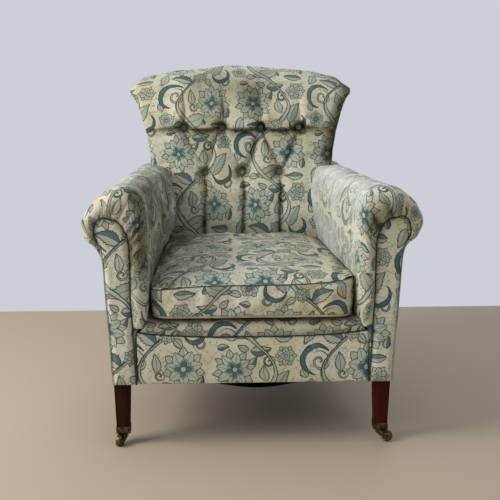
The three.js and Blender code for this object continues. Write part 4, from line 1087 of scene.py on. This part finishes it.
def outside_back():
    """Plain panel on the outside of the back, sewn down each side."""
    z = np.linspace(CLOTH_BOTTOM, PANEL_TOP, 60)[:, None]
    half = np.interp(z, *BACK_WIDTH.T) - np.where(z > 0.47, 0.0023, 0.0003)
    across = np.linspace(-1, 1, 61)[None, :]
    x = half * across
    rim = np.minimum((1 - np.abs(across)) * half, np.minimum(z - CLOTH_BOTTOM, PANEL_TOP - z))
    edge = 0.0022 * (1 - soft_step(rim / 0.010))
    y = back_line(z) + PANEL_REAR - edge
    grid = np.stack([x, y + 0 * x, z + 0 * x], -1)
    grid[..., 1] += lumps(grid, 0.2, 8) * 0.0012 * soft_step(rim / 0.03)
    cloth = np.stack([-grid[..., 0] + 0.06, grid[..., 2] + 0.1], -1)
    rear = grid.copy()
    rear[..., 1] = back_line(rear[..., 2]) + 0.1136
    piece = quilted("outside_back_panel", grid, rear, cloth)
    upholster(piece, "outside_back")
    for sense, word in ((-1, "left"), (1, "right")):
        line = []
        for z in np.linspace(CLOTH_BOTTOM + 0.002, PANEL_TOP - 0.002, 50):
            wide = float(np.interp(z, *BACK_WIDTH.T)) - (0.0004 if z > 0.47 else 0.0)
            line.append((sense * (wide + 0.0002), float(back_line(z)) + PANEL_REAR - 0.0006, z))
        piping("outside_back_piping_" + word, line, 0.0015, SEAM_SOFT)


# ---------------------------------------------------------------- seat
BORDER_FRONT = -0.003 + DEPTH_SHIFT
BORDER_HALF = 0.2632


def border_top(x):
    return 0.2615 + 0.011 * (np.abs(x) / 0.25) ** 3


def swept(name, section, x_line, shift, fitted=None, soil_and_shade=None):
    """A closed form from a section that changes along x: section(x) gives its (y, z) points."""
    rings = np.array([[(x, y, z) for y, z in section(x)] for x in x_line])
    if fitted:
        rings[..., 0] *= fitted(rings)
    rings = np.concatenate([rings, rings[:, :1]], 1)
    around = run(rings[len(rings) // 2][None], 1)
    cloth = np.stack([rings[..., 0] + shift[0], around.repeat(len(rings), 0) + shift[1]], -1)
    outer = (rings, cloth, soil_and_shade(rings)) if soil_and_shade else (rings, cloth)
    return sewn(name, [outer] + [cap(rings[end, :-1], 1) for end in (0, -1)])


def border():
    """Front border under the seat, nailed over the front rail."""
    low, rear = CLOTH_BOTTOM + 0.002, FRAME_FRONT + DEPTH_SHIFT

    def section(x):
        top = float(border_top(x))
        wave = 0.0009 * math.sin(x * 31) + 0.0007 * math.sin(x * 67 + 1)
        front = [(BORDER_FRONT + out, z) for out, z in (
            (0.004, low), (0.0008, low + 0.003), (-0.001 + wave, low + 0.02),
            (-0.002 + wave, (low + top) / 2), (-0.001 + wave, top - 0.02), (0.001, top - 0.004),
            (0.004, top))]
        front = spline(front, np.linspace(0, 1, 27))
        return [(rear, low), *map(tuple, front), (rear, top), (rear, low + 0.06)]
    piece = swept("border", section, BORDER_HALF * np.linspace(-1, 1, 90), (0.30, 0.02))
    upholster(piece, "seat_platform")


def platform():
    """Sprung platform with a padded lip, under the cushion."""
    rear = 0.1405
    half = arm_face(ARM_START, border_top(0.25))

    def section(x):
        low = float(border_top(x)) + 0.0005
        wave = 0.001 * math.sin(x * 23 + 2)
        lip = [(BORDER_FRONT + out, z) for out, z in (
            (0.006, low), (-0.001, low + 0.003), (-0.005 + wave, low + 0.012),
            (-0.003 + wave, PLATFORM_TOP - 0.014), (0.003, PLATFORM_TOP - 0.006),
            (0.014, PLATFORM_TOP - 0.002), (0.04, PLATFORM_TOP))]
        lip = spline(lip, np.linspace(0, 1, 25))
        top = [(y, PLATFORM_TOP) for y in (-0.2, 0.0, rear)]
        return [(rear - 0.014, low), (rear - 0.14, low), *map(tuple, lip), *top]

    def fitted(rings):
        return (arm_face(np.maximum(rings[..., 1], ARM_START), rings[..., 2]) - 0.0015) / half

    # Painted shade under the cushion along the top of the lip, over an even darkening of the whole lip
    def soil_and_shade(rings):
        return 0.25 + 0.5 * soft_step((rings[..., 2] - 0.285) / 0.015)
    piece = swept("seat_lip", section, half * np.linspace(-1, 1, 80), (0.30, -0.04), fitted, soil_and_shade)
    upholster(piece, "seat_platform")
    line = [
        (x, BORDER_FRONT + 0.0012, float(border_top(x)) + 0.0003)
        for x in (BORDER_HALF - 0.0010) * np.linspace(-1, 1, 70)]
    piping("border_seam", line, 0.0011, SEAM_DARK)


CUSHION_FRONT = -0.006 + DEPTH_SHIFT
CUSHION_LOW, CUSHION_HIGH = 0.309, 0.383
CLOTH_FRAMES = 10


def cushion_spot(s, t, z):
    """A place in the cushion: s from side to side, t from front to back, both at height z."""
    rear = back_line(z) - 0.012
    y_high = CUSHION_FRONT + (back_line(CUSHION_HIGH) - 0.012 - CUSHION_FRONT) * t
    half = arm_inner(np.maximum(y_high, ARM_START), 4) - 0.0025
    return np.stack([s * half, CUSHION_FRONT + (rear - CUSHION_FRONT) * t, z + 0 * s], -1)


def seam_high(s, t):
    return CUSHION_HIGH + 0.014 * s ** 3 * (1 - t) ** 2


def cushion_top(s, t):
    crown = 0.024 * (1 - np.abs(2 * t - 1) ** 4) * (1 - np.abs(s) ** 3)
    return seam_high(s, t) + crown


def perimeter(count, corner):
    """A rounded square round the cushion in its own s and t, from the middle of the back edge."""
    turn = np.linspace(0, 2 * math.pi, count + 1)
    # Rounded, or the ring's last point would miss its first one
    c, s = np.round((np.cos(turn), np.sin(turn)), 12)
    power = 2 / corner
    return np.sign(s) * np.abs(s) ** power, 0.5 + 0.5 * np.sign(c) * np.abs(c) ** power


def cushion():
    s, t = perimeter(240, 14)
    # Even steps along the edge
    edge = cushion_spot(s, t, CUSHION_HIGH + 0 * s)
    length = run(edge[None], 1)[0]
    even = np.linspace(0, length[-1], 241)
    s, t = np.interp(even, length, s), np.interp(even, length, t)
    length = even
    rings, cloths = [], []
    # Underside, from its middle out to the lower seam
    for share in np.concatenate([np.linspace(0, 0.9, 14), np.linspace(0.93, 1, 6)]):
        ss, tt = s * share, 0.5 + (t - 0.5) * share
        z = 0.3025 + 0.0065 * soft_step((share - 0.9) / 0.1) + 0 * ss
        rings.append(cushion_spot(ss * 0.985, 0.5 + (tt - 0.5) * 0.985, z))
        cloths.append(rings[-1][:, :2] + np.array([0.9, 0.4]))
    panels = [(np.array(rings), np.array(cloths))]
    # Boxing between the seams
    box = []
    for k in np.linspace(0, 1, 15):
        z = CUSHION_LOW + (seam_high(s, t) - CUSHION_LOW) * k
        swell = 0.985 + 0.015 * k + 0.006 * math.sin(math.pi * k)
        box.append(cushion_spot(s * swell, 0.5 + (t - 0.5) * swell, z))
    box = np.array(box)
    box_cloth = np.stack([np.broadcast_to(length + 0.07, box.shape[:2]), box[..., 2] - 0.22], -1)
    panels.append((box, box_cloth))
    # Top, from the upper seam in to its middle
    rings, cloths, grimes_and_shades = [], [], []
    for share in np.concatenate([np.linspace(1, 0.93, 8), np.linspace(0.9, 0, 24)]):
        ss, tt = s * share, 0.5 + (t - 0.5) * share
        z = cushion_top(ss, tt)
        rings.append(cushion_spot(ss, tt, z))
        cloths.append(np.stack([rings[-1][:, 0] + 0.02, rings[-1][:, 1] + 0.62], -1))
        # Darker towards the back, with painted shade along both sides under the arms, more on the
        # left, and in the rear-left corner below the left arm's bulge
        sides = (0.28 + 0.25 * (ss < 0)) * soft_step((np.abs(ss) - 0.84) / 0.16) * soft_step(tt * 4)
        corner = 0.80 * soft_step((-ss - 0.35) / 0.5) * soft_step((tt - 0.25) / 0.6)
        grimes_and_shades.append(0.14 + 0.52 * soft_step((tt - 0.70) / 0.30) + sides + corner)
    grimes_and_shades = np.array(grimes_and_shades) * np.clip(0.9 + 0.4 * lumps(np.array(rings), 0.09, 73), 0.3, 1.4)
    panels.append((np.array(rings), np.array(cloths), grimes_and_shades))
    piece = sewn("seat_cushion_cover", panels)

    # The stuffing presses the cover out between its seams, which hold
    held = piece.vertex_groups.new(name="held")
    place = np.array([vertex.co for vertex in piece.data.vertices])
    to_seam = np.linalg.norm(place[:, None] - box[-1][None], axis=2).min(axis=1)
    marks = np.nonzero((place[:, 2] < 0.312) | (to_seam < 0.0004))[0].tolist()
    held.add(marks, 1.0, "REPLACE")
    swell_with_cloth(piece, 3.0, 0.007)
    apply(piece, "SUBSURF", levels=1, render_levels=1, use_limit_surface=False)
    wrinkle_cushion(piece)
    upholster(piece, "seat_cushion")

    def beside_seam(seam, out):
        """Points just outside a seam, moved away from the middle of the cushion."""
        return seam + (seam - (0, -0.13, 0)) * (out, out - 0.001, 0)
    high, low = box[-1][:-1:2], box[0][:-1:2]
    piping("cushion_top_piping", beside_seam(high, 0.004), 0.0012, SEAM_SOFT, closed=True)
    piping("cushion_low_piping", beside_seam(low, 0.006), 0.0024, PIPING_CREAM, closed=True)


def swell_with_cloth(piece, pressure, reach):
    """Blows a closed cover up from inside for a few frames, and keeps the result."""
    before = np.array([v.co for v in piece.data.vertices])
    cloth = piece.modifiers.new("cloth", "CLOTH")
    cloth.settings.quality = 5
    cloth.settings.use_pressure = True
    cloth.settings.uniform_pressure_force = pressure
    cloth.settings.shrink_min = -0.03
    cloth.settings.vertex_group_mass = "held"
    cloth.settings.effector_weights.gravity = 0
    cloth.collision_settings.use_collision = False
    scene.frame_start, scene.frame_end = 1, CLOTH_FRAMES
    for number in range(1, CLOTH_FRAMES + 1):
        scene.frame_set(number)
    choose(piece)
    bpy.ops.object.modifier_apply(modifier=cloth.name)
    scene.frame_set(1)
    after = np.array([v.co for v in piece.data.vertices])
    move = after - before
    size = np.linalg.norm(move, axis=1, keepdims=True)
    move *= np.minimum(1, reach / np.maximum(size, 1e-9))
    place = before + move
    place[:, 2] = np.maximum(place[:, 2], np.minimum(before[:, 2], 0.3024))
    piece.data.vertices.foreach_set("co", place.astype(np.float32).ravel())
    piece.data.update()


def wrinkle_cushion(piece):
    """Creases that years of sitting leave in the cover."""
    mesh = piece.data
    count = len(mesh.vertices)
    place = np.empty(count * 3)
    mesh.vertices.foreach_get("co", place)
    place = place.reshape(-1, 3)
    normal = np.empty(count * 3)
    mesh.vertex_normals.foreach_get("vector", normal)
    normal = normal.reshape(-1, 3)
    top = soft_step((normal[:, 2] - 0.6) / 0.3) * (place[:, 2] > 0.35)
    side = (1 - np.abs(normal[:, 2])) * (place[:, 2] > 0.312)
    amount = lumps(place, 0.11, 41) * 0.0022 * top + lumps(place, 0.045, 42) * 0.0008 * top
    pulls = np.sin(place[:, 0] * 95 + np.sin(place[:, 2] * 60) * 1.5) * np.sin(place[:, 0] * 21 + 1)
    amount += pulls * 0.0010 * side
    place += normal * amount[:, None]
    mesh.vertices.foreach_set("co", place.astype(np.float32).ravel())
    mesh.update()


def under_lining():
    """Black lining tacked under the frame, sagging in the middle."""
    top = 0.1524 - 0.0006
    rear = 0.6159
    y = np.concatenate([[0.018, 0.036, 0.0522], np.linspace(0.0553, rear, 60)])
    near = 0.278
    outer = 0.313 + (0.245 - 0.313) * (y - 0.0523) / (0.6189 - 0.0523) - 0.014
    half = np.where(y < 0.0523, near, np.minimum(near, outer))
    share = (y - 0.014) / (rear - 0.014)
    sag = 0.0145 * np.sin(math.pi * np.clip(share, 0, 1)) ** 0.6
    across = np.linspace(-1, 1, 61)[None, :]
    x = half[:, None] * across
    loose = np.cos(np.clip((x - 0.012) / 0.15, -1, 1) * math.pi / 2) ** 2
    front = np.exp(-((y[:, None] - 0.018) / 0.10) ** 2)
    z = top - sag[:, None] * (1 - across ** 2) - 0.016 * loose * front
    grid = np.stack([x, y[:, None] + DEPTH_SHIFT + 0 * x, z], -1)
    middle = (1 - across ** 2) * np.sin(math.pi * np.clip(share, 0, 1))[:, None]
    grid[..., 2] += lumps(grid, 0.1, 51) * 0.0008 * middle
    cloth = grid[..., :2].copy()
    piece = sewn("under_lining", [(grid, cloth)], close=False)
    apply(piece, "SOLIDIFY", thickness=0.0006, offset=0)
    dress(piece, LINING, replaced=["bottom_cloth"])


# ---------------------------------------------------------------- legs, castors and frame
def wooden_leg(node, name):
    piece = copy_of(node, name)
    bevel(piece, 0.0016, 3, 40)
    bpy.ops.object.shade_smooth_by_angle(angle=math.radians(35))
    dress(piece, MAHOGANY, replaced=[node])


def castor(place):
    for part, body, width in (("cup", "chair", 0.0006), ("horn", "horn_" + place, 0.0005)):
        node = f"castor_{part}_{place}"
        piece = copy_of(node, f"{part}_{place}")
        bevel(piece, width, 2, 35)
        bpy.ops.object.shade_smooth_by_angle(angle=math.radians(40))
        dress(piece, BRASS, body, [node])
    # Wheel with a raised hub and a dished face on each side
    low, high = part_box(f"castor_wheel_{place}")
    centre = (low + high) / 2
    hub = next(j for j in frame["joints"] if j["name"] == f"castor_roll_{place}")
    axis = Vector(hub["axis"])
    bpy.ops.object.select_all(action="DESELECT")
    bpy.ops.mesh.primitive_cylinder_add(vertices=64, radius=0.013, depth=0.0118, location=(0, 0, 0))
    piece = bpy.context.object
    piece.name = f"wheel_{place}"
    bpy.ops.object.mode_set(mode="EDIT")
    bpy.ops.mesh.select_mode(type="FACE")
    mesh = bmesh.from_edit_mesh(piece.data)
    for face in mesh.faces:
        face.select = abs(face.normal.z) > 0.9
    bmesh.update_edit_mesh(piece.data)
    # Steps from the rim in: width and rise
    for width, rise in ((0.0022, 0), (0.0008, -0.0012), (0.0038, 0), (0.0006, 0.0010), (0.0021, 0)):
        bpy.ops.mesh.inset(thickness=width, depth=rise, use_individual=True)
    bpy.ops.mesh.bridge_edge_loops()
    bpy.ops.object.mode_set(mode="OBJECT")
    bevel(piece, 0.0006, 2, 50)
    piece.rotation_euler = axis.to_track_quat("Z", "Y").to_euler()
    piece.location = centre
    choose(piece)
    bpy.ops.object.transform_apply(location=True, rotation=True, scale=True)
    bpy.ops.object.shade_smooth_by_angle(angle=math.radians(40))
    dress(piece, BRASS, f"wheel_{place}", [f"castor_wheel_{place}"])


def paint_nodes():
    """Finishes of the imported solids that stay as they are."""
    for name, node in frame["nodes"].items():
        material = BEECH
        if name == "seat_webbing":
            material = JUTE
        elif name.startswith(("seat_spring", "castor_axle")):
            material = STEEL
        node.data.materials.clear()
        node.data.materials.append(material)


def room():
    """Plain pale floor that ends close behind the chair, where the pale backdrop begins."""
    bpy.ops.object.select_all(action="DESELECT")
    bpy.ops.mesh.primitive_plane_add(size=14, location=(0, 0.82 - 7, 0))
    ground = bpy.context.object
    ground.name = "floor"
    finish = Finish("pale_floor", roughness=0.75)
    finish.shader.inputs["Base Color"].default_value = (*paint(190, 174, 152), 1)
    ground.data.materials.append(finish.material)

    world = bpy.data.worlds.new("room_light")
    world.use_nodes = True
    tree = world.node_tree
    light = tree.nodes["Background"]
    light.inputs[0].default_value = (0.80, 0.84, 0.90, 1)
    light.inputs[1].default_value = 0.42
    backdrop = tree.nodes.new("ShaderNodeBackground")
    backdrop.inputs[0].default_value = (*paint(203, 207, 216), 1)
    choice = tree.nodes.new("ShaderNodeMixShader")
    tree.links.new(tree.nodes.new("ShaderNodeLightPath").outputs["Is Camera Ray"], choice.inputs[0])
    tree.links.new(light.outputs[0], choice.inputs[1])
    tree.links.new(backdrop.outputs[0], choice.inputs[2])
    tree.links.new(choice.outputs[0], tree.nodes["World Output"].inputs[0])
    scene.world = world


paint_nodes()
for sense, word in ((-1, "left"), (1, "right")):
    arm(sense, word)
    facing(sense, word)
    wooden_leg("front_leg_" + word, "front_leg_turned_" + word)
    wooden_leg("back_post_" + word, "back_leg_" + word)
inside_back()
back_buttons()
outside_back()
border()
platform()
cushion()
under_lining()
for corner_name in ("front_left", "front_right", "back_left", "back_right"):
    castor(corner_name)
room()
printed_cotton()
